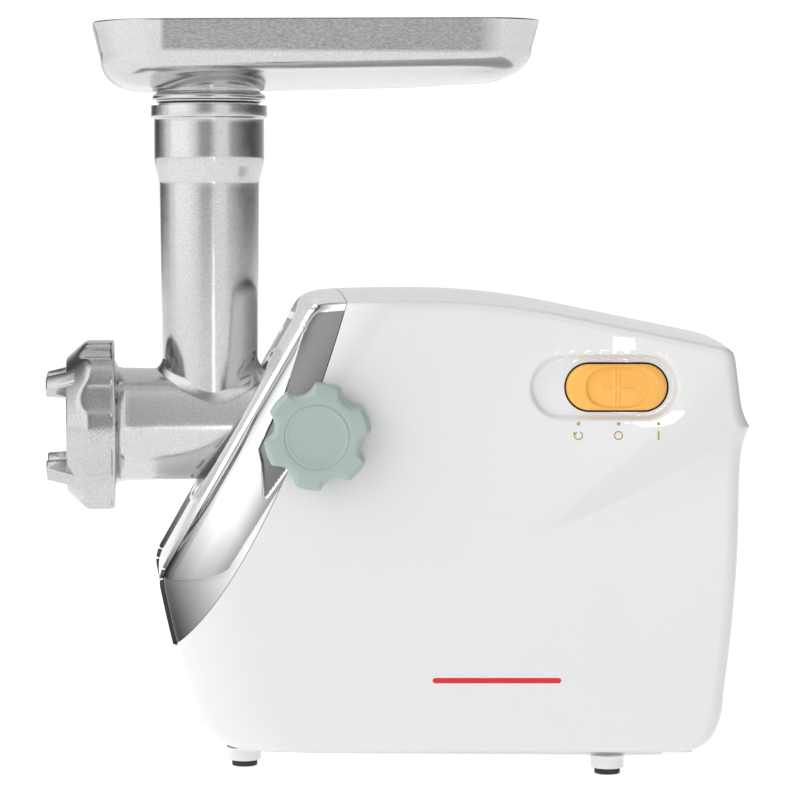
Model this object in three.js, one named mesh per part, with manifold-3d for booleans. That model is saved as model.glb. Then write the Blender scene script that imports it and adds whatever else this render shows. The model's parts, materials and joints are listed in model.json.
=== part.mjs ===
// Electric meat grinder: motor housing with a gear train, and a cast grinding head with its tray.
// Millimetres, +Z up, the ring nut points to -X, the knob and the switch are on the -Y side.
// While it is built, X = 0 is the feed tube's axis; the last lines centre the whole object.
import * as THREE from 'three';
import { mergeVertices } from 'three/addons/utils/BufferGeometryUtils.js';
import Module from 'manifold-3d';

const wasm = await Module();
wasm.setup();

const TURN = 2 * Math.PI;
const gap = 0.3; // between pieces that touch
const runGap = 0.4; // radial, between pieces that turn or slide

// ---- driving dimensions ----------------------------------------------------------------------

const axisZ = 167; // height of the barrel, the feed screw and the drive shaft
const knobX = 49.2; // where the clamp screw leaves the housing's side

const body = {
  wall: 2.5,
  bottomZ: 13,
  baseZ: 9.2, // underside of the base plate
  lowFrontX: 6, // front edge at the bottom
  chinX: -26, // foremost point, under the slanted panel
  chinZ: 96,
  browX: 43, // upper end of the slanted panel
  browZ: 217,
  topZ: 230.8, // edge of the flat part of the top
  topFrontX: 58,
  topBendX: 136, // where the top starts to fall
  topRearX: 243,
  topRearZ: 208.5,
  rearX: 251.5,
  ridgeX: 256.4, // the fin where the shoulder line meets the rear
  ridgeZ: 170,
  rearFootX: 230, // rear edge at the bottom
  halfWidth: 88.4, // at rearX
  taper: 0.103, // the half width lost per millimetre towards the front
  cornerWidth: 18, // front corners: across
  cornerDepth: 36, // front corners: front to back
  edgeRadius: 4, // top edges
  rearRadius: 8, // rear corners
  frontCrown: 1,
  topCrown: 4,
};

// Rear edge of the chrome corner and the fascia: a curve that leans back from its low tip.
const band = {
  topX: 63,
  topDrop: 1, // under the housing's top edge
  upperX: 50,
  upperZ: 185,
  lowerX: 20,
  lowerZ: 100,
  bottomX: -19.5,
  bottomZ: 63,
};
const foot = {
  radius: 8.2,
  padRadius: 6.2,
  padHeight: 3,
  stem: 3,
  stemTop: 7,
  frontX: 15,
  frontY: 30,
  rearX: 190,
  rearY: 68,
};

const barrel = {
  mouthX: -63, // front face, against the cutting plate
  boreRadius: 23.8,
  threadWall: 9.2,
  frontWall: 4.5,
  rearWall: 3.2,
  collarWall: 5.2,
  threadLength: 15,
  collarX: 30,
  endX: 64,
  floorX: 24, // rear wall of the bore
};
barrel.threadRadius = barrel.boreRadius + barrel.threadWall;
barrel.frontRadius = barrel.boreRadius + barrel.frontWall;
barrel.rearRadius = barrel.boreRadius + barrel.rearWall;
barrel.collarRadius = barrel.boreRadius + barrel.collarWall;

const tube = {
  boreRadius: 21.6,
  lowRadius: 23.7,
  neckRadius: 24.8, // at the shoulder's foot
  cupRadius: 27.3, // above the shoulder
  rimProud: 1.5,
  shoulderZ: 287.7,
  cupZ: 298.6,
  rimZ: 319.4,
  topZ: 325.4,
  cupWall: 1.8,
};
tube.rimRadius = tube.cupRadius + tube.rimProud;
tube.cupBore = tube.cupRadius - tube.cupWall;

const nut = {
  frontX: -71.6,
  rearX: -47.7,
  wall: 8.8, // outside the thread
  flute: 3.4, // depth of the flutes
  fluteRadius: 17,
  rearLip: 1.4,
  lobes: 8,
  faceInset: 9.2,
  chamfer: 10,
  lip: 3, // front wall that holds the plate
  clawReach: 9.8,
  claws: 4,
  clawWidth: 9,
};
nut.boreRadius = barrel.threadRadius + runGap;
nut.radius = nut.boreRadius + nut.wall;
nut.faceRadius = nut.radius - nut.faceInset;

const plate = {
  overlap: 3.2, // on the barrel's front face, outside its bore
  held: 2.5, // under the nut's lip
  hole: 2.4,
  centreHole: 4.4,
  rows: [[9.5, 6], [18, 12]], // radius of each ring of holes, and their number
};
plate.radius = barrel.boreRadius + plate.overlap;
nut.mouthRadius = plate.radius - plate.held;

const blade = { clearance: 1.3, thickness: 5, arm: 10 };
blade.radius = barrel.boreRadius - blade.clearance;
const screw = { clearance: 1, core: 8.5, pitch: 26, flight: 0.3, pinRadius: 4, tail: 10, tailEndX: 84 };
screw.radius = barrel.boreRadius - screw.clearance;

const tray = {
  length: 218.5,
  width: 116,
  cornerRadius: 31,
  leftX: -57.3,
  rimZ: 365,
  depth: 35,
  wall: 2.2,
  rimLift: 2, // the rim rises this much towards the far end
  rightLift: 4.4, // and the floor this much more
  wallRun: 3.8, // the wall leans in by this much
  wallDrop: 16,
  endFillet: 25,
  sideFillet: 11,
  sideFall: 9, // the floor falls this much from its sides to its middle
  boreInset: 0.6, // the collar's bore inside the feed tube's
  neckSeat: 22.4, // depth of the seat in the feed tube
  flangeInset: 0.8, // inside the feed tube's rim
  flangeLift: 3, // over the feed tube's top
  coneWall: 2.6,
};
tray.neckRadius = tube.cupBore - runGap;
tray.neckBore = tube.boreRadius - tray.boreInset;
tray.flangeRadius = tube.rimRadius - tray.flangeInset;
tray.flangeZ = tube.topZ + tray.flangeLift;
tray.coneRadius = tray.neckBore + tray.coneWall;

const knob = {
  radius: 25.7,
  notches: 6,
  phase: -11 / 60, // share of a turn between two notches
  notchRadius: 8.3,
  notchInset: 4.6,
  height: 14,
  standOff: 5,
  dial: 15.2,
  dialDepth: 0.8,
  face: 4, // thickness over the screw's hole
  rimWall: 8,
  hubWall: 4,
};
const clamp = { screwRadius: 4, padRadius: 5.4, padHeight: 4, bushRadius: 6.4, travel: 8 };
const rocker = {
  x: 191.3,
  z: 189.4,
  length: 49,
  height: 22.8,
  gap: 0.6,
  rise: 4,
  dishRun: 22, // the dish is this much longer than the rocker
  dishMargin: 8.7, // and this much higher
  dishShift: -5.8,
  dish: 2.4, // depth
};
rocker.dishLength = rocker.length + rocker.dishRun;
rocker.dishHeight = rocker.height + rocker.dishMargin;

const train = {
  pressure: (25 * Math.PI) / 180,
  backlash: 0.26, // at the pitch circle, on every gear's teeth
  addendum: 0.8,
  dedendum: 1.15,
  final: { module: 2, pinion: 10, wheel: 40, width: 13 },
  middle: { module: 1.5, pinion: 10, wheel: 44, width: 8 },
  first: { module: 1.25, pinion: 10, wheel: 48, width: 7 },
  secondLean: (-65 * Math.PI) / 180, // direction of each next shaft, from +Y towards +Z
  firstLean: (-137 * Math.PI) / 180,
  motorLean: (-77 * Math.PI) / 180,
  frontPlateX: 79,
  plateThickness: 3,
  sideGap: 1.6, // between neighbouring gears, along the shafts
  pinRadius: 4,
};
const motor = {
  radius: 33,
  halfHeight: 31,
  shaftRadius: 3.5,
  rotorRadius: 17.5,
  commutator: 11,
  coreLength: 42,
  startX: 146,
  fanRadius: 30,
};
const bush = { inner: 7.8, outer: 10.4, flange: 15 }; // round the feed screw's shaft
const hubRadius = 11.5; // round the drive shaft's socket
const seatZ = tube.topZ - tray.neckSeat;

// ---- solids ----------------------------------------------------------------------------------

function solidOf(geometry) {
  const bare = geometry.clone();
  for (const name of Object.keys(bare.attributes)) {
    if (name !== 'position') bare.deleteAttribute(name);
  }
  const merged = mergeVertices(bare, 1e-4);
  const corners = [];
  for (let i = 0; i < merged.index.count; i += 3) {
    const [a, b, c] = merged.index.array.slice(i, i + 3);
    if (a !== b && b !== c && c !== a) corners.push(a, b, c);
  }
  const vertProperties = new Float32Array(merged.attributes.position.array);
  const make = (list) =>
    new wasm.Manifold(new wasm.Mesh({ numProp: 3, vertProperties, triVerts: new Uint32Array(list) }));
  const made = make(corners);
  return made.volume() > 0 ? made : make(corners.reverse());
}

function geometryOf(solid) {
  const mesh = solid.getMesh();
  const geometry = new THREE.BufferGeometry();
  geometry.setAttribute('position', new THREE.BufferAttribute(mesh.vertProperties, 3));
  geometry.setIndex(new THREE.BufferAttribute(mesh.triVerts, 1));
  const flat = geometry.toNonIndexed();
  flat.computeVertexNormals();
  return flat;
}

const join = (first, ...others) => others.reduce((whole, next) => whole.add(next), first);
const cut = (first, ...others) => others.reduce((whole, next) => whole.subtract(next), first);

// Turns a geometry built along its own +Z so that it runs along another axis.
const along = {
  x: new THREE.Matrix4().makeBasis(axis(0, 1, 0), axis(0, 0, 1), axis(1, 0, 0)),
  z: new THREE.Matrix4(),
};

function axis(x, y, z) {
  return new THREE.Vector3(x, y, z);
}

// A shape extruded from one station to another: it lies in YZ for x and XY for z.
function prism(shape, direction, from, to, curveSegments = 6) {
  const depth = to - from;
  const geometry = new THREE.ExtrudeGeometry(shape, { depth, bevelEnabled: false, curveSegments });
  return solidOf(geometry.translate(0, 0, from).applyMatrix4(along[direction]));
}

// A profile of [radius, station] pairs, closed on itself or on the axis, revolved about an axis.
function turned(profile, direction, centre = [0, 0, 0], segments = 16) {
  const points = profile.map(([radius, station]) => new THREE.Vector2(radius, station));
  const geometry = new THREE.LatheGeometry(points, segments).rotateX(Math.PI / 2);
  return solidOf(geometry.applyMatrix4(along[direction]).translate(...centre));
}

function rod(radius, direction, from, to, centre = [0, 0, 0], segments = 16) {
  return turned([[0, from], [radius, from], [radius, to], [0, to]], direction, centre, segments);
}

function ring(outer, inner, direction, from, to, centre = [0, 0, 0], segments = 16) {
  const profile = [[inner, from], [outer, from], [outer, to], [inner, to], [inner, from]];
  return turned(profile, direction, centre, segments);
}

function block([x0, y0, z0], [x1, y1, z1]) {
  const geometry = new THREE.BoxGeometry(x1 - x0, y1 - y0, z1 - z0);
  return solidOf(geometry.translate((x0 + x1) / 2, (y0 + y1) / 2, (z0 + z1) / 2));
}

function polygon(points) {
  return new THREE.Shape(points.map(([u, v]) => new THREE.Vector2(u, v)));
}

function circle(radius, u = 0, v = 0) {
  return new THREE.Shape().absarc(u, v, radius, 0, TURN);
}

function roundedRectangle(length, width, radius, u = 0, v = 0) {
  const [a, b] = [length / 2 - radius, width / 2 - radius];
  const quarter = Math.PI / 2;
  const shape = new THREE.Shape();
  [[a, b], [-a, b], [-a, -b], [a, -b]].forEach(([du, dv], n) => {
    shape.absarc(u + du, v + dv, radius, n * quarter, (n + 1) * quarter);
  });
  return shape;
}

const pieces = new THREE.Group();

function addPiece(name, solid, color, roughness, metalness) {
  const material = new THREE.MeshStandardMaterial({ color, roughness, metalness });
  const mesh = new THREE.Mesh(geometryOf(solid), material);
  mesh.name = name;
  pieces.add(mesh);
}

const finish = {
  whitePlastic: ['#eef0f1', 0.18, 0],
  chrome: ['#c9ccd0', 0.06, 1],
  castAluminium: ['#bfc1c2', 0.34, 1],
  steel: ['#a9adb1', 0.28, 1],
  greenPlastic: ['#a3b2aa', 0.3, 0],
  yellowPlastic: ['#f5b95a', 0.3, 0],
  blackRubber: ['#1b1b1c', 0.8, 0],
  blackPlastic: ['#2a2b2d', 0.5, 0],
  brass: ['#c9a552', 0.3, 1],
  copper: ['#b4683a', 0.35, 1],
  nylon: ['#e6e2d6', 0.45, 0],
  carbon: ['#2c2c2e', 0.7, 0],
};

// ---- housing surface -------------------------------------------------------------------------

// Half the width of the housing's flat sides, which narrow towards the front.
const sideAt = (x) => body.halfWidth - body.taper * (body.rearX - x);
// Plan line where the front corners begin to round.
const cornerAt = (x) => sideAt(x) - body.cornerWidth;
// Height of the top edge.
const topFall = (body.topZ - body.topRearZ) / (body.topRearX - body.topBendX);

// The four edges of the side view; the ridge on the rear is there only on the outside.
function outlineCurves(ridge) {
  const b = body;
  const front = new THREE.Path().moveTo(b.lowFrontX, b.bottomZ);
  front.quadraticCurveTo(b.lowFrontX - 12, b.bottomZ + 5, b.lowFrontX - 17, b.bottomZ + 21);
  front.quadraticCurveTo(b.chinX + 6.5, band.bottomZ, b.chinX + 1.2, b.chinZ - 6);
  front.quadraticCurveTo(b.chinX, b.chinZ, b.chinX + 3, b.chinZ + 5.4);
  front.lineTo(b.browX, b.browZ);
  front.quadraticCurveTo(b.browX + 2.6, b.browZ + 6, b.browX + 6, b.topZ - 3.2);
  const top = new THREE.Path().moveTo(b.browX + 6, b.topZ - 3.2);
  top.quadraticCurveTo(b.browX + 9, b.topZ - 0.8, b.topFrontX + 6, b.topZ - 0.4);
  top.quadraticCurveTo(b.topFrontX + 24, b.topZ + 0.2, b.topBendX - 34, b.topZ);
  top.quadraticCurveTo(b.topBendX, b.topZ, b.topBendX + 34, b.topZ - 34 * topFall);
  top.lineTo(b.topRearX, b.topRearZ);
  top.quadraticCurveTo(b.topRearX + 5, b.topRearZ - 1.2, b.topRearX + 6, b.topRearZ - 4);
  const rear = new THREE.Path().moveTo(b.rearFootX, b.bottomZ);
  rear.quadraticCurveTo(b.rearX - 7.5, b.bottomZ + 3, b.rearX - 6.5, b.bottomZ + 28);
  rear.quadraticCurveTo(b.rearX, b.ridgeZ - 80, b.rearX, b.ridgeZ - 40);
  rear.quadraticCurveTo(b.rearX, b.ridgeZ - 15, b.rearX + 1.4 * ridge, b.ridgeZ - 9);
  rear.lineTo(b.rearX + (b.ridgeX - b.rearX) * ridge, b.ridgeZ);
  rear.lineTo(b.rearX + 0.6 * ridge, b.ridgeZ + 9);
  rear.lineTo(b.topRearX + 6, b.topRearZ - 4);
  const bottom = new THREE.Path().moveTo(b.lowFrontX, b.bottomZ).lineTo(b.rearFootX, b.bottomZ);
  const shareUpTo = (path, count) => path.getCurveLengths()[count - 1] / path.getLength();
  return { front, top, rear, bottom, chinShare: shareUpTo(front, 3), ridgeShare: shareUpTo(rear, 4) };
}

// Places along a curve, closer together towards both ends and about a corner at a share of it.
function stations(count, corner = 0) {
  const first = Math.round(count * corner);
  const eased = (n, of) => 0.5 - 0.5 * Math.cos((Math.PI * n) / of);
  return Array.from({ length: count + 1 }, (_, n) =>
    n < first ? corner * eased(n, first) : corner + (1 - corner) * eased(n - first, count - first));
}

// Linear look-up in a polyline whose points are sorted by their first number.
function lookUp(table, at) {
  let n = 1;
  while (n < table.length - 1 && table[n][0] < at) n += 1;
  const [[u0, v0], [u1, v1]] = [table[n - 1], table[n]];
  const part = Math.min(1, Math.max(0, (at - u0) / (u1 - u0)));
  return v0 + part * (v1 - v0);
}

// How far an elliptical rounding of unit size has still to come in, at a share of its depth.
const rounding = (share) => (share >= 1 ? 0 : 1 - Math.sqrt(1 - (1 - Math.max(0, share)) ** 2));

// The housing's form moved inwards by a distance, with its bottom raised, as one closed solid.
function housingForm(inward, raise = 0, columns = 12, rows = 10, across = 4) {
  const curves = outlineCurves(inward > 0 ? 0 : 1);
  const sample = (curve, n, scale, corner = 0) =>
    stations(n, corner).map((t) => {
      const point = curve.getPointAt(t);
      const tangent = curve.getTangentAt(Math.min(0.999, Math.max(0.001, t)));
      const shift = scale * inward;
      return [point.x + tangent.y * shift, point.y - tangent.x * shift];
    });
  const front = sample(curves.front, rows, 1, curves.chinShare);
  const top = sample(curves.top, columns, 1);
  const rear = sample(curves.rear, rows, -1, curves.ridgeShare);
  const bottom = sample(curves.bottom, columns, -1);
  const shared = (first, second) => first.map((value, n) => (value + second[n]) / 2);
  front[rows] = top[0] = shared(front[rows], top[0]);
  rear[rows] = top[columns] = shared(rear[rows], top[columns]);
  for (const place of bottom) place[1] = body.bottomZ + raise;
  front[0] = bottom[0] = [front[0][0], bottom[0][1]];
  rear[0] = bottom[columns] = [rear[0][0], bottom[columns][1]];

  const frontAt = front.map(([x, z]) => [z, x]);
  const rearAt = rear.map(([x, z]) => [z, x]);
  const halfWidthAt = (x, z) => {
    const fromFront = (x - lookUp(frontAt, z)) / body.cornerDepth;
    const fromTop = (lookUp(top, x) - z) / body.edgeRadius;
    const fromRear = (lookUp(rearAt, z) - x) / body.rearRadius;
    const lost = body.cornerWidth * rounding(fromFront) + body.edgeRadius * rounding(fromTop);
    return sideAt(x) - inward - lost - body.rearRadius * rounding(fromRear);
  };
  const steps = { u: stations(columns), v: stations(rows, curves.chinShare) };
  const gridPoint = (i, j) => {
    const [u, v] = [steps.u[i], steps.v[j]];
    return [0, 1].map((k) => {
      const edges = (1 - v) * bottom[i][k] + v * top[i][k] + (1 - u) * front[j][k] + u * rear[j][k];
      const low = (1 - u) * bottom[0][k] + u * bottom[columns][k];
      const high = (1 - u) * top[0][k] + u * top[columns][k];
      return edges - (1 - v) * low - v * high;
    });
  };

  const triangles = [];
  const quad = (a, b, c, d) => triangles.push(a, b, c, a, c, d);
  for (const side of [-1, 1]) {
    const at = (i, j) => {
      const [x, z] = gridPoint(i, j);
      return [x, side * halfWidthAt(x, z), z];
    };
    for (let i = 0; i < columns; i += 1) {
      for (let j = 0; j < rows; j += 1) {
        const corners = [at(i, j), at(i + 1, j), at(i + 1, j + 1), at(i, j + 1)];
        quad(...(side < 0 ? corners : corners.reverse()));
      }
    }
  }
  // The strip round the outline joins the two sides; it is crowned along its middle.
  const loop = [];
  for (let i = 0; i < columns; i += 1) loop.push([i, 0, 0]);
  for (let j = 0; j < rows; j += 1) loop.push([columns, j, body.topCrown * (j / rows)]);
  for (let i = columns; i > 0; i -= 1) loop.push([i, rows, body.topCrown]);
  for (let j = rows; j > 0; j -= 1) loop.push([0, j, body.frontCrown + (j === rows ? 2 : 0)]);
  const rim = loop.map(([i, j, crown]) => ({ place: gridPoint(i, j), crown }));
  const stripPoint = (n, m) => {
    const { place, crown } = rim[n % rim.length];
    const before = rim[(n + rim.length - 1) % rim.length].place;
    const after = rim[(n + 1) % rim.length].place;
    const [dx, dz] = [after[0] - before[0], after[1] - before[1]];
    const span = Math.hypot(dx, dz);
    const share = (2 * m) / across - 1;
    const rise = crown * (1 - share * share);
    const width = halfWidthAt(place[0], place[1]);
    return [place[0] + (dz / span) * rise, share * width, place[1] - (dx / span) * rise];
  };
  for (let n = 0; n < rim.length; n += 1) {
    for (let m = 0; m < across; m += 1) {
      quad(stripPoint(n, m), stripPoint(n, m + 1), stripPoint(n + 1, m + 1), stripPoint(n + 1, m));
    }
  }
  const geometry = new THREE.BufferGeometry();
  geometry.setAttribute('position', new THREE.Float32BufferAttribute(triangles.flat(), 3));
  return solidOf(geometry);
}

// Side view of the chrome corner and the fascia: everything in front of a curve that leans back.
function bandShape(grow = 0) {
  const far = -80;
  const shape = new THREE.Shape().moveTo(band.topX + grow, 300);
  shape.lineTo(band.topX + grow, body.topZ - band.topDrop);
  shape.bezierCurveTo(
    band.upperX + grow, band.upperZ, band.lowerX + grow, band.lowerZ - grow,
    band.bottomX, band.bottomZ - grow,
  );
  shape.lineTo(far, band.bottomZ - grow);
  shape.lineTo(far, 300);
  return shape;
}

// A side-view shape (x, z) as a solid right across the object.
function acrossBody(shape, from = -120, to = 120) {
  const settings = { depth: to - from, bevelEnabled: false, curveSegments: 9 };
  const flipped = new THREE.ExtrudeGeometry(shape, settings);
  flipped.translate(0, 0, from).rotateX(Math.PI / 2);
  return solidOf(flipped);
}

// The plan region between the two front corners, narrowed or widened.
function betweenCorners(grow) {
  const [x0, x1] = [-60, 90];
  const points = [[x0, -cornerAt(x0) - grow], [x1, -cornerAt(x1) - grow]];
  points.push([x1, cornerAt(x1) + grow], [x0, cornerAt(x0) + grow]);
  return prism(polygon(points), 'z', 0, 300);
}


// ---- housing side: a frame whose +Z is the switch side's outward normal ---------------------

const lean = Math.hypot(1, body.taper);
const sideNormal = axis(-body.taper / lean, -1 / lean, 0);

function sideFrame(x, z) {
  const alongSide = axis(1 / lean, -body.taper / lean, 0);
  const frame = new THREE.Matrix4().makeBasis(alongSide, axis(0, 0, 1), sideNormal);
  return frame.setPosition(x, -sideAt(x), z);
}

function sidePrism(shape, [x, z], from, to, curveSegments = 6) {
  const settings = { depth: to - from, bevelEnabled: false, curveSegments };
  const geometry = new THREE.ExtrudeGeometry(shape, settings);
  return solidOf(geometry.translate(0, 0, from).applyMatrix4(sideFrame(x, z)));
}

function sideRod(radius, [x, z], from, to, segments = 16) {
  const geometry = new THREE.CylinderGeometry(radius, radius, to - from, segments);
  geometry.rotateX(Math.PI / 2).translate(0, 0, (from + to) / 2);
  return solidOf(geometry.applyMatrix4(sideFrame(x, z)));
}

const stadium = (length, height) => roundedRectangle(length, height, height / 2 - 0.01);
const rockerPlace = [rocker.x, rocker.z];
const knobPlace = [knobX, axisZ];

// ---- covers ----------------------------------------------------------------------------------

const grille = { halfWidth: 36, lowZ: 56, highZ: 112, slots: 7, slotHeight: 3.4 };
const gland = { y: 34, z: 34, radius: 6.5, flange: 9.5, bore: 3.6 };

const shell = cut(housingForm(0), housingForm(body.wall, -1, 8, 7, 2));
const opening = { clearance: 2.2, ringWidth: 6.8, ringHeight: 2.2 };
opening.radius = barrel.collarRadius + opening.clearance;
opening.ringRadius = opening.radius + opening.ringWidth;

function grilleRegion(grow) {
  const [half, low, high] = [grille.halfWidth + grow, grille.lowZ - grow, grille.highZ + grow];
  return block([body.rearX - 14, -half, low], [body.rearX + 20, half, high]);
}

function mainHousing() {
  const dishPlace = [rocker.x + rocker.dishShift, rocker.z];
  const pad = sidePrism(stadium(rocker.dishLength + 6, rocker.dishHeight + 6), dishPlace, -5.2, -1);
  const dish = sidePrism(stadium(rocker.dishLength, rocker.dishHeight), dishPlace, -rocker.dish, 4);
  const window = stadium(rocker.length + 2 * rocker.gap, rocker.height + 2 * rocker.gap);
  const bushHole = sideRod(clamp.bushRadius + gap, knobPlace, -9, 5);
  const glandHole = rod(gland.radius + gap, 'x', 230, 260, [0, gland.y, gland.z], 20);
  return cut(
    join(shell, pad),
    acrossBody(bandShape(gap)),
    dish,
    sidePrism(window, rockerPlace, -9, 1),
    bushHole,
    glandHole,
    grilleRegion(gap),
  );
}

// The side view of a layer that lies along the slanted panel, between two heights above it.
function panelLayer(inner, outer, reach = 60) {
  const [foot0, head0] = [axis(body.chinX + 3, body.chinZ + 5.4, 0), axis(body.browX, body.browZ, 0)];
  const up = head0.clone().sub(foot0).normalize();
  const out = axis(-up.y, up.x, 0);
  const at = (place, height, stretch) =>
    place.clone().addScaledVector(out, height).addScaledVector(up, stretch).toArray().slice(0, 2);
  const corners = [at(foot0, inner, -reach), at(foot0, outer, -reach)];
  return polygon([...corners, at(head0, outer, reach), at(head0, inner, reach)]);
}

function frontFascia() {
  const strip = shell.intersect(acrossBody(bandShape())).intersect(betweenCorners(-gap / 2));
  const rim = ring(opening.ringRadius, opening.radius, 'x', -60, 80, [0, 0, axisZ], 28);
  const layer = acrossBody(panelLayer(-body.wall, body.frontCrown + opening.ringHeight, 0));
  const bore = rod(opening.radius, 'x', -60, 80, [0, 0, axisZ], 28);
  return cut(join(strip, rim.intersect(layer)), bore);
}

function cornerTrim(side) {
  const both = cut(shell.intersect(acrossBody(bandShape())), betweenCorners(gap / 2));
  const half = block([-100, side < 0 ? -120 : 0, 0], [100, side < 0 ? 0 : 120, 300]);
  return cut(both.intersect(half), sideRod(clamp.bushRadius + gap, knobPlace, -9, 5));
}

const basePlan = { frontX: 20, rearX: 218, inset: 9, thickness: 3.5, ribX: [150, 176] };
const plugHeight = 3; // the base closes the shell up to here

function basePlate() {
  const { frontX, rearX, inset, thickness } = basePlan;
  const halfFront = sideAt(frontX) - inset - 12;
  const halfRear = sideAt(rearX) - inset;
  const plan = new THREE.Shape().moveTo(frontX, -halfFront + 10);
  plan.quadraticCurveTo(frontX, -halfFront, frontX + 22, -halfFront - 8);
  plan.lineTo(rearX - 12, -halfRear);
  plan.quadraticCurveTo(rearX, -halfRear, rearX, -halfRear + 12);
  plan.lineTo(rearX, halfRear - 12);
  plan.quadraticCurveTo(rearX, halfRear, rearX - 12, halfRear);
  plan.lineTo(frontX + 22, halfFront + 8);
  plan.quadraticCurveTo(frontX, halfFront, frontX, halfFront - 10);
  const sheet = prism(plan, 'z', body.baseZ, body.baseZ + thickness, 5);
  const slab = block([-60, -120, body.baseZ + 1], [300, 120, body.bottomZ + plugHeight]);
  const plug = housingForm(body.wall + gap, gap - 1, 8, 7, 2).intersect(slab);
  const stands = footPlaces.map(([x, y]) => {
    const stand = rod(foot.radius, 'z', foot.padHeight, body.baseZ + 1, [x, y, 0], 16);
    return cut(stand, rod(foot.stem + gap, 'z', -1, foot.stemTop + gap, [x, y, 0], 12));
  });
  const saddles = basePlan.ribX.map((x) =>
    block([x, -22, body.baseZ + 1], [x + 4, 22, motorAxis.z - motor.halfHeight - gap]));
  const vents = [-2, -1, 0, 1, 2].map((n) =>
    block([190, n * 10 - 2, 0], [212, n * 10 + 2, 30]));
  return cut(join(sheet, plug, ...stands, ...saddles), ...vents);
}

const footPlaces = [
  [foot.frontX, -foot.frontY],
  [foot.frontX, foot.frontY],
  [foot.rearX, -foot.rearY],
  [foot.rearX, foot.rearY],
];

function footPad([x, y]) {
  const disc = rod(foot.padRadius, 'z', 0, foot.padHeight - gap, [x, y, 0], 16);
  return join(disc, rod(foot.stem, 'z', 1, foot.stemTop, [x, y, 0], 12));
}

function rearGrille() {
  const panel = shell.intersect(grilleRegion(0));
  const pitch = (grille.highZ - grille.lowZ) / (grille.slots + 1);
  const slots = Array.from({ length: grille.slots }, (_, n) => {
    const z = grille.lowZ + (n + 1) * pitch;
    const half = grille.halfWidth - 6;
    return block([230, -half, z - grille.slotHeight / 2], [270, half, z + grille.slotHeight / 2]);
  });
  return cut(panel, ...slots);
}

function cordGland() {
  const profile = [[gland.bore, 238], [gland.radius, 238], [gland.radius, 247.2], [gland.flange, 247.2]];
  profile.push([gland.flange - 2, 251.5], [gland.bore, 251.5], [gland.bore, 238]);
  return turned(profile, 'x', [0, gland.y, gland.z], 20);
}

// ---- switch and clamp ------------------------------------------------------------------------

function switchRocker() {
  const cap = sidePrism(stadium(rocker.length, rocker.height), rockerPlace, -3.4, rocker.rise - rocker.dish);
  return join(cap, sidePrism(roundedRectangle(18, 14, 2), rockerPlace, -9, -3));
}

function switchBody() {
  return sidePrism(roundedRectangle(42, 22, 1.5), rockerPlace, -32, -10.5, 3);
}

// Distance from the housing's side to the pad's face, along the screw: clear of the collar.
const padReach = (sideAt(knobX) - barrel.collarRadius) * lean - 1.6;

function clampKnob() {
  const top = knob.standOff + knob.height;
  const notches = Array.from({ length: knob.notches }, (_, n) => {
    const angle = ((n + knob.phase) * TURN) / knob.notches;
    const reach = knob.radius + knob.notchRadius - knob.notchInset;
    const notch = circle(knob.notchRadius, reach * Math.cos(angle), reach * Math.sin(angle));
    return sidePrism(notch, knobPlace, knob.standOff - 1, top + 1, 5);
  });
  return cut(
    sideRod(knob.radius, knobPlace, knob.standOff, top, 42),
    ...notches,
    sideRod(knob.dial, knobPlace, top - knob.dialDepth, top + 1, 24),
    cut(
      sideRod(knob.radius - knob.rimWall, knobPlace, knob.standOff - 1, top - knob.face),
      sideRod(clamp.screwRadius + knob.hubWall, knobPlace, knob.standOff - 2, top),
    ),
    sideRod(clamp.screwRadius + gap, knobPlace, knob.standOff - 1, top - knob.face),
  );
}

function clampScrew() {
  const tip = -(padReach - clamp.padHeight - gap);
  return sideRod(clamp.screwRadius, knobPlace, tip, knob.standOff + knob.height - knob.face - gap);
}

function clampPad() {
  return sideRod(clamp.padRadius, knobPlace, -padReach, -(padReach - clamp.padHeight));
}

function clampBush() {
  const end = -(padReach - clamp.padHeight - clamp.travel - 1);
  const outside = sideRod(clamp.bushRadius, knobPlace, end, 1.5);
  return cut(outside, sideRod(clamp.screwRadius + runGap, knobPlace, end - 1, 3));
}

function headSocket() {
  const wall = { bore: barrel.collarRadius + runGap, outer: barrel.collarRadius + 4, backX: 74.5 };
  const profile = [[hubRadius + 0.8, wall.backX], [wall.bore, wall.backX], [wall.bore, -40]];
  profile.push([wall.outer, -40], [wall.outer, wall.backX], [wall.outer + 8, wall.backX]);
  profile.push([wall.outer + 8, train.frontPlateX - gap], [hubRadius + 0.8, train.frontPlateX - gap]);
  profile.push([hubRadius + 0.8, wall.backX]);
  const inFront = acrossBody(panelLayer(-body.wall - gap, 120, 200));
  const padHole = sideRod(clamp.padRadius + runGap, knobPlace, -padReach - 2, -padReach + 12);
  return cut(turned(profile, 'x', [0, 0, axisZ], 28), inFront, padHole);
}

// ---- grinding head ---------------------------------------------------------------------------

const onAxis = [0, 0, axisZ];

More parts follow.
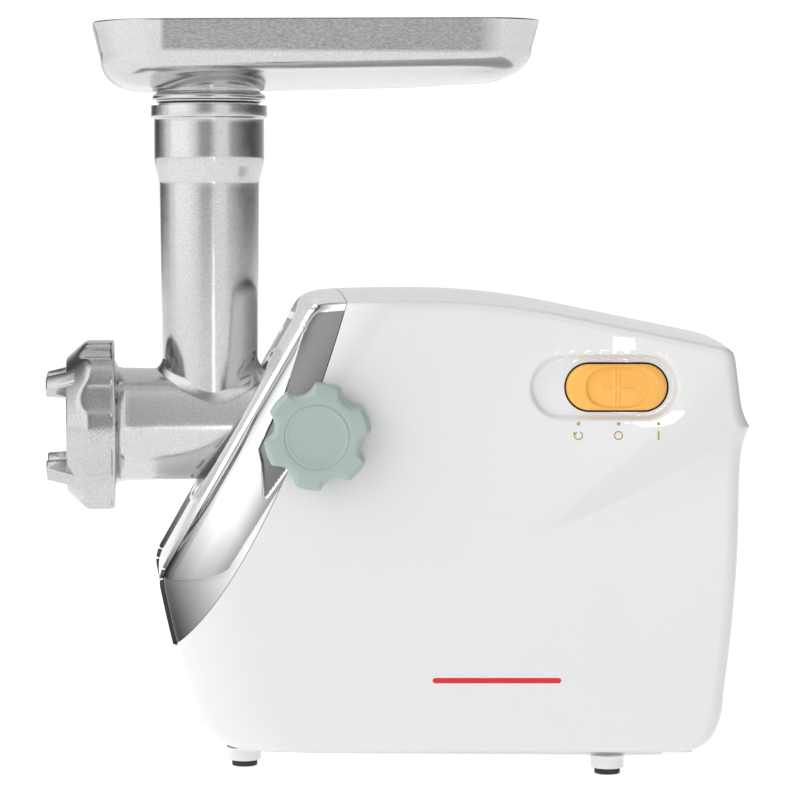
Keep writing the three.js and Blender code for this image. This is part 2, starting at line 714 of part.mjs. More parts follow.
function headCasting() {
  const b = barrel;
  const outside = turned(
    [
      [0, b.mouthX],
      [b.threadRadius, b.mouthX],
      [b.threadRadius, b.mouthX + b.threadLength],
      [b.frontRadius, b.mouthX + b.threadLength + 2],
      [b.rearRadius, b.collarX - 4],
      [b.collarRadius, b.collarX],
      [b.collarRadius, b.endX],
      [0, b.endX],
    ],
    'x', onAxis, 28,
  );
  const t = tube;
  const riser = turned(
    [[0, axisZ], [t.lowRadius, axisZ], [t.neckRadius, t.shoulderZ], [t.cupRadius, t.cupZ],
      [t.cupRadius, t.rimZ], [t.rimRadius, t.rimZ], [t.rimRadius, t.topZ], [0, t.topZ]],
    'z', [0, 0, 0], 28,
  );
  const throat = turned(
    [[0, axisZ], [t.boreRadius, axisZ], [t.boreRadius, seatZ], [t.cupBore, seatZ],
      [t.cupBore, t.topZ + 1], [0, t.topZ + 1]],
    'z', [0, 0, 0], 28,
  );
  const bore = rod(b.boreRadius, 'x', b.mouthX - 1, b.floorX, onAxis, 28);
  const bushHole = rod(bush.outer + gap, 'x', b.floorX - 1, b.endX + 1, onAxis, 20);
  const relief = ring(b.collarRadius - 3.5, bush.outer + 4, 'x', b.floorX + 6, b.endX + 1, onAxis, 24);
  return cut(join(outside, riser), throat, bore, bushHole, relief);
}

function screwBushing() {
  const profile = [[bush.inner, barrel.floorX - 2.6], [bush.flange, barrel.floorX - 2.6]];
  profile.push([bush.flange, barrel.floorX - gap], [bush.outer, barrel.floorX - gap]);
  profile.push([bush.outer, barrel.endX - 2], [bush.inner, barrel.endX - 2]);
  profile.push([bush.inner, barrel.floorX - 2.6]);
  return turned(profile, 'x', onAxis, 24);
}

function ringNut() {
  const n = nut;
  const outside = turned(
    [[n.mouthRadius, n.frontX], [n.faceRadius, n.frontX], [n.radius, n.frontX + n.chamfer],
      [n.radius, n.rearX], [n.boreRadius, n.rearX],
      [n.boreRadius, n.frontX + n.lip], [n.mouthRadius, n.frontX + n.lip],
      [n.mouthRadius, n.frontX]],
    'x', onAxis, 48,
  );
  const flutes = Array.from({ length: n.lobes }, (_, k) => {
    const angle = ((k + 0.5) * TURN) / n.lobes;
    const reach = n.radius + n.fluteRadius - n.flute;
    const centre = [0, reach * Math.cos(angle), axisZ + reach * Math.sin(angle)];
    return rod(n.fluteRadius, 'x', n.frontX - 1, n.rearX - n.rearLip, centre, 28);
  });
  const claws = Array.from({ length: n.claws }, (_, k) => {
    const side = polygon([
      [n.faceRadius - 8, n.frontX + 1],
      [n.faceRadius + 4, n.frontX + n.chamfer * 0.5],
      [n.faceRadius - 1.5, n.frontX - n.clawReach],
      [n.faceRadius - 7, n.frontX - n.clawReach],
    ]);
    const geometry = new THREE.ExtrudeGeometry(side, { depth: n.clawWidth, bevelEnabled: false });
    geometry.translate(0, 0, -n.clawWidth / 2).applyMatrix4(
      new THREE.Matrix4().makeBasis(axis(0, 1, 0), axis(1, 0, 0), axis(0, 0, -1)),
    );
    return solidOf(geometry.rotateX(((k + 0.5) * TURN) / n.claws).translate(...onAxis));
  });
  return join(cut(outside, ...flutes), ...claws);
}

const plateX = nut.frontX + nut.lip + gap;
const bladeX = barrel.mouthX + gap - 0.1;

function cuttingPlate() {
  const disc = rod(plate.radius, 'x', plateX, barrel.mouthX - gap, onAxis, 32);
  const holes = plate.rows.flatMap(([radius, count]) =>
    Array.from({ length: count }, (_, k) => {
      const angle = (k * TURN) / count;
      const centre = [0, radius * Math.cos(angle), axisZ + radius * Math.sin(angle)];
      return rod(plate.hole, 'x', plateX - 1, barrel.mouthX, centre, 6);
    }));
  return cut(disc, ...holes, rod(plate.centreHole, 'x', plateX - 1, barrel.mouthX, onAxis, 16));
}

function squareBar(width, from, to) {
  const half = width / 2;
  return block([from, -half, axisZ - half], [to, half, axisZ + half]);
}

function crossBlade() {
  const [from, to] = [bladeX, bladeX + blade.thickness];
  const [r, half] = [blade.radius, blade.arm / 2];
  return cut(
    join(
      block([from, -r, axisZ - half], [to, r, axisZ + half]),
      block([from, -half, axisZ - r], [to, half, axisZ + r]),
      rod(blade.arm, 'x', from, to, onAxis, 24),
    ),
    squareBar(2 * screw.pinRadius + 2 * gap, from - 1, to + 1),
  );
}

// The worm: one lobe standing out of a core, twisted along the axis.
function feedScrew() {
  const [from, to] = [bladeX + blade.thickness + gap, barrel.floorX - 3];
  const outline = new THREE.Shape();
  const steps = 16;
  for (let n = 0; n < steps; n += 1) {
    const angle = (n * TURN) / steps;
    const away = Math.min(angle, TURN - angle) / Math.PI;
    const rise = THREE.MathUtils.smoothstep(1 - away / screw.flight, 0, 0.6);
    const radius = screw.core + (screw.radius - screw.core) * rise;
    const place = [radius * Math.cos(angle), radius * Math.sin(angle)];
    if (n === 0) outline.moveTo(...place);
    else outline.lineTo(...place);
  }
  const settings = { depth: to - from, steps: 30, bevelEnabled: false };
  const geometry = new THREE.ExtrudeGeometry(outline, settings);
  const places = geometry.attributes.position;
  const point = new THREE.Vector3();
  for (let n = 0; n < places.count; n += 1) {
    point.fromBufferAttribute(places, n).applyAxisAngle(axis(0, 0, 1), (TURN * places.getZ(n)) / screw.pitch);
    places.setXYZ(n, point.x, point.y, point.z);
  }
  const worm = solidOf(geometry.translate(0, 0, from).applyMatrix4(along.x).translate(...onAxis));
  return join(
    worm,
    squareBar(2 * screw.pinRadius, bladeX, from + 1),
    rod(screw.pinRadius - 0.2, 'x', plateX + 1, bladeX + 1, onAxis, 20),
    rod(bush.inner - runGap, 'x', to - 1, barrel.endX, onAxis, 24),
    squareBar(screw.tail, barrel.endX - 1, screw.tailEndX),
  );
}

// ---- tray ------------------------------------------------------------------------------------

// How far the pan's surface lies under the rim, at a distance in from the ends and from the sides.
const panDepth = {
  end(inset) {
    if (inset < tray.wallRun) return (tray.wallDrop * inset) / tray.wallRun;
    const share = Math.min(1, (inset - tray.wallRun) / tray.endFillet);
    return tray.wallDrop + (tray.depth - tray.wallDrop) * Math.sqrt(1 - (1 - share) ** 2);
  },
  side(inset) {
    if (inset < tray.wallRun) return (tray.wallDrop * inset) / tray.wallRun;
    const share = Math.min(1, (inset - tray.wallRun) / tray.sideFillet);
    const past = Math.max(0, inset - tray.wallRun - tray.sideFillet);
    const floorRun = tray.width / 2 - tray.wallRun - tray.sideFillet;
    const fillet = (tray.depth - tray.sideFall - tray.wallDrop) * Math.sqrt(1 - (1 - share) ** 2);
    return tray.wallDrop + fillet + tray.sideFall * (past / floorRun) ** 0.9;
  },
};

// The space under the rim plane down to the pan's underside, or down to its inside for a wall.
function panForm(wall, above) {
  const insets = [0, tray.wallRun, 6, 10, 15, 22, 31, tray.width / 2 - wall - 0.3];
  const centreX = tray.leftX + tray.length / 2;
  const rings = insets.map((inset) => {
    const radius = Math.max(0.2, tray.cornerRadius - wall - inset);
    const [a, b] = [tray.length / 2 - wall - inset - radius, tray.width / 2 - wall - inset - radius];
    const places = [];
    [[a, b], [-a, b], [-a, -b], [a, -b]].forEach(([du, dv], quarter) => {
      for (let k = 0; k <= 4; k += 1) {
        const angle = ((quarter + k / 4) * Math.PI) / 2;
        const [c, s] = [Math.cos(angle), Math.sin(angle)];
        const [dx, y] = [du + radius * c, dv + radius * s];
        const fromEnd = tray.length / 2 - wall - Math.abs(dx) + 0.01;
        const fromSide = tray.width / 2 - wall - Math.abs(y) + 0.01;
        const endShare = fromSide ** 2 / (fromSide ** 2 + fromEnd ** 2);
        const drop = endShare * panDepth.end(inset) + (1 - endShare) * panDepth.side(inset);
        const x = centreX + dx;
        const share = (x - tray.leftX) / tray.length;
        const floorShare = drop / tray.depth;
        const lift = share * (tray.rimLift + tray.rightLift * floorShare);
        places.push([x, y, tray.rimZ - drop + lift + wall * floorShare]);
      }
    });
    return places;
  });
  if (above > 0) rings.unshift(rings[0].map(([x, y, z]) => [x, y, z + above]));
  const triangles = [];
  const count = rings[0].length;
  for (let r = 1; r < rings.length; r += 1) {
    for (let n = 0; n < count; n += 1) {
      const [a, b] = [rings[r - 1][n], rings[r - 1][(n + 1) % count]];
      const [c, d] = [rings[r][n], rings[r][(n + 1) % count]];
      triangles.push(a, c, d, a, d, b);
    }
  }
  const fan = (places, flip) => {
    for (let n = 1; n < count - 1; n += 1) {
      triangles.push(places[0], ...(flip ? [places[n + 1], places[n]] : [places[n], places[n + 1]]));
    }
  };
  fan(rings[0], false);
  fan(rings[rings.length - 1], true);
  const geometry = new THREE.BufferGeometry();
  geometry.setAttribute('position', new THREE.Float32BufferAttribute(triangles.flat(), 3));
  return solidOf(geometry);
}

function foodTray() {
  const inside = panForm(tray.wall, 2);
  const pan = cut(panForm(0, 0), inside);
  const z = tray.flangeZ;
  const collar = turned(
    [[0, seatZ + gap], [tray.neckRadius, seatZ + gap], [tray.neckRadius, z], [tray.flangeRadius, z],
      [tray.flangeRadius, z + 2.4], [tray.coneRadius + 2, z + 5], [tray.coneRadius, z + 11], [0, z + 11]],
    'z', [0, 0, 0], 28,
  );
  const hole = rod(tray.neckBore, 'z', seatZ - 1, tray.rimZ, [0, 0, 0], 28);
  return cut(join(pan, cut(collar, inside)), hole);
}

// ---- gear train ------------------------------------------------------------------------------

// A spur gear's outline with involute flanks; a tooth is centred on the phase angle.
function gearShape(teeth, module, phase) {
  const pitch = (module * teeth) / 2;
  const base = pitch * Math.cos(train.pressure);
  const root = pitch - train.dedendum * module;
  const tip = pitch + train.addendum * module;
  const involute = (angle) => Math.tan(angle) - angle;
  const halfTooth = Math.PI / (2 * teeth) - train.backlash / (2 * pitch) + involute(train.pressure);
  const start = Math.max(base, root);
  const flank = [start, tip].map((radius) => [
    radius,
    halfTooth - involute(Math.acos(Math.min(1, base / radius))),
  ]);
  if (root < base) flank.unshift([root, flank[0][1]]);
  const places = [];
  for (let tooth = 0; tooth < teeth; tooth += 1) {
    const centre = phase + (tooth * TURN) / teeth;
    const sides = [...flank.map(([r, half]) => [r, -half]), ...flank.toReversed()];
    for (const [r, turn] of sides) places.push([r * Math.cos(centre + turn), r * Math.sin(centre + turn)]);
  }
  return polygon(places);
}

for (const stage of [train.final, train.middle, train.first]) {
  stage.distance = (stage.module * (stage.pinion + stage.wheel)) / 2;
}

const shaftAfter = (from, distance, direction) => ({
  y: from.y + distance * Math.cos(direction),
  z: from.z + distance * Math.sin(direction),
});
const driveAxis = { y: 0, z: axisZ };
const secondAxis = shaftAfter(driveAxis, train.final.distance, train.secondLean);
const firstAxis = shaftAfter(secondAxis, train.middle.distance, train.firstLean);
const motorAxis = shaftAfter(firstAxis, train.first.distance, train.motorLean);

const gearX = {};
gearX.final = [train.frontPlateX + train.plateThickness + train.sideGap, 0];
gearX.final[1] = gearX.final[0] + train.final.width;
gearX.middle = [gearX.final[1] + train.sideGap, 0];
gearX.middle[1] = gearX.middle[0] + train.middle.width;
gearX.first = [gearX.middle[1] + train.sideGap, 0];
gearX.first[1] = gearX.first[0] + train.first.width;
const rearPlateX = gearX.first[1] + train.sideGap;

function gearWheel(teeth, module, phase, [from, to], place) {
  const geometry = new THREE.ExtrudeGeometry(gearShape(teeth, module, phase), {
    depth: to - from, bevelEnabled: false,
  });
  return solidOf(geometry.translate(0, 0, from).applyMatrix4(along.x).translate(0, place.y, place.z));
}

// A wheel meshes with the pinion that stands in the given direction from it.
const wheelPhase = (direction, teeth) => direction + Math.PI / teeth;

function outputGear() {
  const { module, wheel } = train.final;
  const gear = gearWheel(wheel, module, wheelPhase(train.secondLean, wheel), gearX.final, driveAxis);
  return cut(gear, rod(driveShaft.radius + gap, 'x', 60, 130, onAxis, 24));
}

function compoundGear(wheelStage, pinionStage, wheelX, pinionX, place, toWheelMate, toPinionMate) {
  const wheel = gearWheel(
    wheelStage.wheel, wheelStage.module, wheelPhase(toWheelMate, wheelStage.wheel), wheelX, place,
  );
  const pinion = gearWheel(
    pinionStage.pinion, pinionStage.module, toPinionMate, [pinionX[0], wheelX[0] + 1], place,
  );
  const bore = rod(train.pinRadius + runGap, 'x', 60, 140, [0, place.y, place.z], 16);
  return cut(join(wheel, pinion), bore);
}

const secondGear = () => compoundGear(
  train.middle, train.final, gearX.middle, gearX.final, secondAxis,
  train.firstLean, train.secondLean + Math.PI,
);
const firstGear = () => compoundGear(
  train.first, train.middle, gearX.first, gearX.middle, firstAxis,
  train.motorLean, train.firstLean + Math.PI,
);

function motorPinion() {
  const { module, pinion } = train.first;
  const gear = gearWheel(pinion, module, train.motorLean + Math.PI, gearX.first, motorAxis);
  return cut(gear, rod(motor.shaftRadius + gap / 2, 'x', 60, 140, [0, motorAxis.y, motorAxis.z], 16));
}

const driveShaft = { radius: 8 };

function driveShaftPiece() {
  const start = barrel.endX + 2;
  const hub = rod(hubRadius, 'x', start, train.frontPlateX + train.plateThickness + 1, onAxis, 28);
  const shaft = rod(driveShaft.radius, 'x', train.frontPlateX, rearPlateX + train.plateThickness, onAxis, 24);
  const socket = squareBar(screw.tail + 2 * runGap, start - 1, screw.tailEndX + 1);
  const inside = rod(driveShaft.radius - 3, 'x', screw.tailEndX, screw.tailEndX + 3, onAxis, 16);
  return cut(join(hub, shaft), socket, inside);
}

function gearPin(place) {
  const [from, to] = [train.frontPlateX, rearPlateX + train.plateThickness];
  return rod(train.pinRadius, 'x', from, to, [0, place.y, place.z], 16);
}

const gearPlan = { centreY: 4, width: 112, lowZ: 33, highZ: 212, postRadius: 4 };
const postPlaces = [[-44, 204], [50, 204], [-44, 43], [50, 43]];

function gearPlate(from, holes) {
  const { centreY, width, lowZ, highZ } = gearPlan;
  const sheet = roundedRectangle(width, highZ - lowZ, 10, centreY, (lowZ + highZ) / 2);
  const solid = prism(sheet, 'x', from, from + train.plateThickness, 4);
  return cut(solid, ...holes.map(([radius, y, z]) =>
    rod(radius, 'x', from - 1, from + train.plateThickness + 1, [0, y, z], 16)));
}

const bearingWall = 2.6;

function frontGearPlate() {
  const pinHoles = [firstAxis, secondAxis].map(({ y, z }) => [train.pinRadius + gap, y, z]);
  const sheet = gearPlate(train.frontPlateX, [[hubRadius + bearingWall + 2 * gap, 0, axisZ], ...pinHoles]);
  const posts = postPlaces.map(([y, z]) =>
    rod(gearPlan.postRadius, 'x', train.frontPlateX + 1, rearPlateX - gap, [0, y, z], 12));
  return join(sheet, ...posts);
}

function rearGearPlate() {
  const pinHoles = [firstAxis, secondAxis].map(({ y, z }) => [train.pinRadius + gap, y, z]);
  const motorHole = [motor.shaftRadius + bearingWall + 2 * gap, motorAxis.y, motorAxis.z];
  const driveHole = [driveShaft.radius + bearingWall + 2 * gap, 0, axisZ];
  return gearPlate(rearPlateX, [driveHole, motorHole, ...pinHoles]);
}

function bearing(shaftRadius, x, place) {
  const inner = shaftRadius + gap;
  return ring(inner + bearingWall, inner, 'x', x, x + train.plateThickness, [0, place.y, place.z], 16);
}

// ---- motor -----------------------------------------------------------------------------------

const core = [motor.startX, motor.startX + motor.coreLength];
const motorCentre = [0, motorAxis.y, motorAxis.z];

// A coil's flat loop round one pole, grown by a clearance; side is +1 above and -1 below the rotor.
function coilLoop(side, grow) {
  const [halfX, halfY] = [motor.coreLength / 2 + 7, 23];
  const middleX = (core[0] + core[1]) / 2;
  const loop = roundedRectangle(2 * (halfX + grow), 2 * (halfY + grow), 9, middleX, motorAxis.y);
  const window = roundedRectangle(2 * (halfX - 6.4 - grow), 2 * (halfY - 9 - grow), 4, middleX, motorAxis.y);
  const centre = motorAxis.z + side * (motor.rotorRadius + 6);
  const [low, high] = [centre - 3.2 - grow, centre + 3.2 + grow];
  return cut(prism(loop, 'z', low, high, 3), prism(window, 'z', low - 1, high + 1, 2));
}

function statorCore() {
  const outline = roundedRectangle(2 * motor.radius, 2 * motor.halfHeight, 12, motorAxis.y, motorAxis.z);
  const solid = prism(outline, 'x', core[0], core[1], 3);
  const bore = rod(motor.rotorRadius + 2 * gap, 'x', core[0] - 1, core[1] + 1, motorCentre, 24);
  const sides = [-1, 1].map((side) => {
    const y = motorAxis.y + side * 19;
    return block([core[0] - 1, y - 4, motorAxis.z - 11], [core[1] + 1, y + 4, motorAxis.z + 11]);
  });
  return cut(solid, bore, ...sides, coilLoop(1, gap), coilLoop(-1, gap));
}

function rotorCore() {
  const solid = rod(motor.rotorRadius, 'x', core[0], core[1], motorCentre, 24);
  const slots = Array.from({ length: 11 }, (_, k) => {
    const angle = (k * TURN) / 11;
    const reach = motor.rotorRadius - 2;
    const centre = [0, motorAxis.y + reach * Math.cos(angle), motorAxis.z + reach * Math.sin(angle)];
    return rod(1.6, 'x', core[0] - 1, core[1] + 1, centre, 6);
  });
  return cut(solid, ...slots, rod(motor.shaftRadius + gap / 2, 'x', 100, 240, motorCentre, 16));
}

const endFrameX = 214;
const brushX = 197;
const brush = { halfX: 3, halfZ: 2.5, holderWall: 1.3 };

function rotorShaft() {
  return rod(motor.shaftRadius, 'x', gearX.first[0] - 1, endFrameX + 3, motorCentre, 16);
}

function commutator() {
  return ring(motor.commutator, motor.shaftRadius + gap / 2, 'x', brushX - 7, brushX + 7, motorCentre, 24);
}

function coolingFan() {
  const [from, to] = [rearPlateX + 6, rearPlateX + 14];
  const disc = rod(motor.fanRadius, 'x', to - 1.6, to, motorCentre, 24);
  const hub = rod(8, 'x', from, to + 0.5, motorCentre, 20);
  const [inner, outer] = [6, motor.fanRadius - 2];
  const vanes = Array.from({ length: 9 }, (_, k) => {
    const vane = new THREE.BoxGeometry(to - from - 1, outer - inner, 1.4);
    vane.translate((from + to - 1) / 2, (outer + inner) / 2, 0).rotateX(((k + 0.3) * TURN) / 9);
    return solidOf(vane.translate(...motorCentre));
  });
  return cut(join(disc, hub, ...vanes), rod(motor.shaftRadius + gap / 2, 'x', 100, 240, motorCentre, 16));
}

function carbonBrush(side) {
  const [near, far] = [motor.commutator + gap, motor.commutator + 13];
  const [y0, y1] = [side * near, side * far].sort((a, b) => a - b).map((y) => motorAxis.y + y);
  const { halfX, halfZ } = brush;
  return block([brushX - halfX, y0, motorAxis.z - halfZ], [brushX + halfX, y1, motorAxis.z + halfZ]);
}

function brushHolder(side) {
  const [near, far] = [motor.commutator + 3, motor.commutator + 17];
  const [y0, y1] = [side * near, side * far].sort((a, b) => a - b).map((y) => motorAxis.y + y);
  const bar = (halfX, halfZ, over) =>
    block([brushX - halfX, y0 - over, motorAxis.z - halfZ], [brushX + halfX, y1 + over, motorAxis.z + halfZ]);
  const [halfX, halfZ] = [brush.halfX + gap, brush.halfZ + gap];
  return cut(bar(halfX + brush.holderWall, halfZ + brush.holderWall, 0), bar(halfX, halfZ, 1));
}

function motorEndFrame() {
  const [y, z] = [motorAxis.y, motorAxis.z];
  const half = motor.radius;
  const plateShape = roundedRectangle(2 * half, 28, 8, y, z);
  const solid = prism(plateShape, 'x', endFrameX, endFrameX + train.plateThickness, 4);
  const arms = [-1, 1].map((side) => {
    const [a, b] = [side * (half - 3), side * half].sort((u, v) => u - v);
    return block([core[1] + gap, y + a, z - 8], [endFrameX + 1, y + b, z + 8]);
  });
  const holeRadius = motor.shaftRadius + bearingWall + 2 * gap;
  const hole = rod(holeRadius, 'x', endFrameX - 1, endFrameX + 9, motorCentre, 24);
  return cut(join(solid, ...arms), hole);
}

// ---- assembly --------------------------------------------------------------------------------

addPiece('main_housing', mainHousing(), ...finish.whitePlastic);
addPiece('front_fascia', frontFascia(), ...finish.whitePlastic);
addPiece('trim_switch_side', cornerTrim(-1), ...finish.chrome);
addPiece('trim_far_side', cornerTrim(1), ...finish.chrome);
addPiece('base_plate', basePlate(), ...finish.whitePlastic);
const padNames = ['foot_pad_front_near', 'foot_pad_front_far', 'foot_pad_rear_near', 'foot_pad_rear_far'];
padNames.forEach((name, n) => {
  addPiece(name, footPad(footPlaces[n]), ...finish.blackRubber);
});
addPiece('rear_grille', rearGrille(), ...finish.whitePlastic);
addPiece('cord_gland', cordGland(), ...finish.blackRubber);

addPiece('switch_rocker', switchRocker(), ...finish.yellowPlastic);
addPiece('switch_body', switchBody(), ...finish.blackPlastic);
addPiece('clamp_knob', clampKnob(), ...finish.greenPlastic);
addPiece('clamp_screw', clampScrew(), ...finish.steel);
addPiece('clamp_pad', clampPad(), ...finish.brass);
addPiece('clamp_bush', clampBush(), ...finish.brass);
addPiece('head_socket', headSocket(), ...finish.castAluminium);

addPiece('head_casting', headCasting(), ...finish.castAluminium);
addPiece('screw_bushing', screwBushing(), ...finish.nylon);
addPiece('ring_nut', ringNut(), ...finish.castAluminium);
addPiece('cutting_plate', cuttingPlate(), ...finish.steel);
addPiece('cross_blade', crossBlade(), ...finish.steel);
addPiece('feed_screw', feedScrew(), ...finish.castAluminium);
addPiece('food_tray', foodTray(), ...finish.castAluminium);

addPiece('drive_shaft', driveShaftPiece(), ...finish.steel);
addPiece('output_gear', outputGear(), ...finish.nylon);
addPiece('second_gear', secondGear(), ...finish.nylon);
addPiece('first_gear', firstGear(), ...finish.nylon);
addPiece('motor_pinion', motorPinion(), ...finish.steel);
addPiece('gear_pin_second', gearPin(secondAxis), ...finish.steel);
addPiece('gear_pin_first', gearPin(firstAxis), ...finish.steel);
addPiece('front_gear_plate', frontGearPlate(), ...finish.steel);
addPiece('rear_gear_plate', rearGearPlate(), ...finish.steel);
addPiece('drive_bearing_front', bearing(hubRadius, train.frontPlateX, driveAxis), ...finish.brass);
addPiece('drive_bearing_rear', bearing(driveShaft.radius, rearPlateX, driveAxis), ...finish.brass);

addPiece('stator_core', statorCore(), ...finish.steel);
addPiece('field_coil_upper', coilLoop(1, 0), ...finish.copper);
addPiece('field_coil_lower', coilLoop(-1, 0), ...finish.copper);
addPiece('rotor_core', rotorCore(), ...finish.steel);
addPiece('rotor_shaft', rotorShaft(), ...finish.steel);
addPiece('commutator', commutator(), ...finish.copper);
addPiece('cooling_fan', coolingFan(), ...finish.blackPlastic);
addPiece('brush_holder_near', brushHolder(-1), ...finish.brass);
addPiece('brush_holder_far', brushHolder(1), ...finish.brass);
addPiece('carbon_brush_near', carbonBrush(-1), ...finish.carbon);
addPiece('carbon_brush_far', carbonBrush(1), ...finish.carbon);
addPiece('motor_end_frame', motorEndFrame(), ...finish.blackPlastic);
addPiece('motor_bearing_front', bearing(motor.shaftRadius, rearPlateX, motorAxis), ...finish.brass);
addPiece('motor_bearing_rear', bearing(motor.shaftRadius, endFrameX, motorAxis), ...finish.brass);

// The origin is under the middle of the whole object.
pieces.position.x = -(nut.frontX - nut.clawReach + body.ridgeX + body.topCrown) / 2;

export default pieces;
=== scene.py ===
"""Looks of a countertop electric meat grinder, built round its engineering frame.

Every length below is in millimetres in the maker's frame, whose x = 0 is the feed tube's axis;
`metres` moves a point into the object's own frame. The ring nut points to -X and the switch is
on the -Y side.
"""

from __future__ import annotations

import json
import logging
import math
from dataclasses import dataclass, replace
from enum import Enum
from typing import Iterable, Sequence

import bmesh
import bpy
import numpy as np
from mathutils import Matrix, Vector

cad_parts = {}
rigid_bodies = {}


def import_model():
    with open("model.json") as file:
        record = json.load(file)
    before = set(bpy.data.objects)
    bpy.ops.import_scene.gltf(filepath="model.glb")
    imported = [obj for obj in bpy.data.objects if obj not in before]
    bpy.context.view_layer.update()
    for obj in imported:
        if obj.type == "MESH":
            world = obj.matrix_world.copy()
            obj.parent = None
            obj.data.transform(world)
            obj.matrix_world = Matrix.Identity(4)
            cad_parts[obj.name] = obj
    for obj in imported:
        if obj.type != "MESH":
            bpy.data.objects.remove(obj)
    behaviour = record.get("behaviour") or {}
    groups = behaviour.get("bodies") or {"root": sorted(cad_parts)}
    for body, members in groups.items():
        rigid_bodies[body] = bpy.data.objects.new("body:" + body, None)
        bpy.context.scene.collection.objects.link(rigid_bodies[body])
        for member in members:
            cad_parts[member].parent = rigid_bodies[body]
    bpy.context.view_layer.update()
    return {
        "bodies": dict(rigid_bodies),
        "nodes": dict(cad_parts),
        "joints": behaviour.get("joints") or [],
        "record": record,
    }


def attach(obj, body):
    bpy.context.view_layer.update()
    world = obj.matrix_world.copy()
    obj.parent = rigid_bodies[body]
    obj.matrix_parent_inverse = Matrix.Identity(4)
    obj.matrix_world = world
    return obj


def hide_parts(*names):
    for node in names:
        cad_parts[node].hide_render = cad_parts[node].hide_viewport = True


LOG = logging.getLogger("grinder")
TURN = 2 * math.pi
MILLI = 0.001
MIDDLE_X = 89.5  # from the feed tube's axis to the middle of the object
AXIS_Z = 167.0  # height of the barrel and of everything that turns with it

Array = np.ndarray
Table = Sequence[tuple[float, float]]


def metres(points: Array) -> Array:
    """Moves points from the maker's frame in millimetres to the object's frame in metres.

    Args:
        points: Points with x, y and z last.

    Returns:
        The same points in metres.
    """
    return (np.asarray(points, float) - np.array([MIDDLE_X, 0.0, 0.0])) * MILLI


def ease(low: float, high: float, value: Array) -> Array:
    """Smooth step from 0 at low to 1 at high.

    Args:
        low: Where the step starts.
        high: Where the step ends.
        value: Values to look up.

    Returns:
        The step's height at each value.
    """
    share = np.clip((value - low) / (high - low), 0, 1)
    return share * share * (3 - 2 * share)


def rounding(share: Array) -> Array:
    """How far a quarter circle of radius 1 still has to come in, at a share of its depth.

    Args:
        share: Distance in from the edge, as a share of the radius.

    Returns:
        The inset there, 1 at the edge and 0 past the radius.
    """
    left = 1 - np.clip(share, 0, 1)
    return 1 - np.sqrt(np.maximum(0, 1 - left * left))


def spaced(start: float, end: float, fine: Sequence[tuple[float, float, float]], step: float) -> Array:
    """Stations from start to end whose spacing is finer in some stretches.

    Args:
        start: First station.
        end: Last station.
        fine: Stretches as (from, to, spacing).
        step: Spacing elsewhere.

    Returns:
        The stations as shares from 0 to 1.
    """
    places = np.linspace(start, end, 2000)
    spacing = np.full(places.shape, step)
    for low, high, own in fine:
        spacing[(places >= low) & (places <= high)] = own
    count = np.concatenate([[0], np.cumsum(np.diff(places) / spacing[1:])])
    whole = max(2, int(round(count[-1])))
    return (np.interp(np.linspace(0, count[-1], whole + 1), count, places) - start) / (end - start)


class Line:
    """A flat line built up from straight and curved runs."""

    def __init__(self, *start: float) -> None:
        """Starts the line at a point."""
        self.points: list[Array] = [np.array(start, float)]

    def to(self, *point: float) -> "Line":
        """Adds a straight run to a point and returns the line."""
        self.points.append(np.array(point, float))
        return self

    def bend(self, *controls: float, count: int = 40) -> "Line":
        """Adds a Bezier run.

        Args:
            controls: Two or three control points as plain numbers, the last one the end.
            count: Number of steps.

        Returns:
            The line itself.
        """
        knots = [self.points[-1], *np.array(controls, float).reshape(-1, 2)]
        for share in np.linspace(0, 1, count + 1)[1:]:
            row = knots
            while len(row) > 1:
                row = [(1 - share) * a + share * b for a, b in zip(row, row[1:])]
            self.points.append(row[0])
        return self

    @property
    def places(self) -> Array:
        """All points of the line."""
        return np.array(self.points)

    def at(self, shares: Array) -> Array:
        """Points at shares of the line's length.

        Args:
            shares: Values from 0 to 1.

        Returns:
            One point for each share.
        """
        places = self.places
        lengths = np.concatenate([[0], np.cumsum(np.linalg.norm(np.diff(places, axis=0), axis=1))])
        wanted = np.asarray(shares) * lengths[-1]
        return np.stack([np.interp(wanted, lengths, places[:, k]) for k in range(2)], axis=-1)


def coons(left: Array, right: Array, low: Array, high: Array, u: Array, v: Array) -> Array:
    """Fills four edges with a grid.

    Args:
        left: Points of the edge at u = 0, one for each v.
        right: Points of the edge at u = 1.
        low: Points of the edge at v = 0, one for each u.
        high: Points of the edge at v = 1.
        u: Shares across.
        v: Shares up.

    Returns:
        Grid of points with shape (len(u), len(v), 2).
    """
    a, b = u[:, None, None], v[None, :, None]
    edges = (1 - b) * low[:, None] + b * high[:, None] + (1 - a) * left[None] + a * right[None]
    lower = (1 - a) * low[0] + a * low[-1]
    upper = (1 - a) * high[0] + a * high[-1]
    return edges - (1 - b) * lower - b * upper


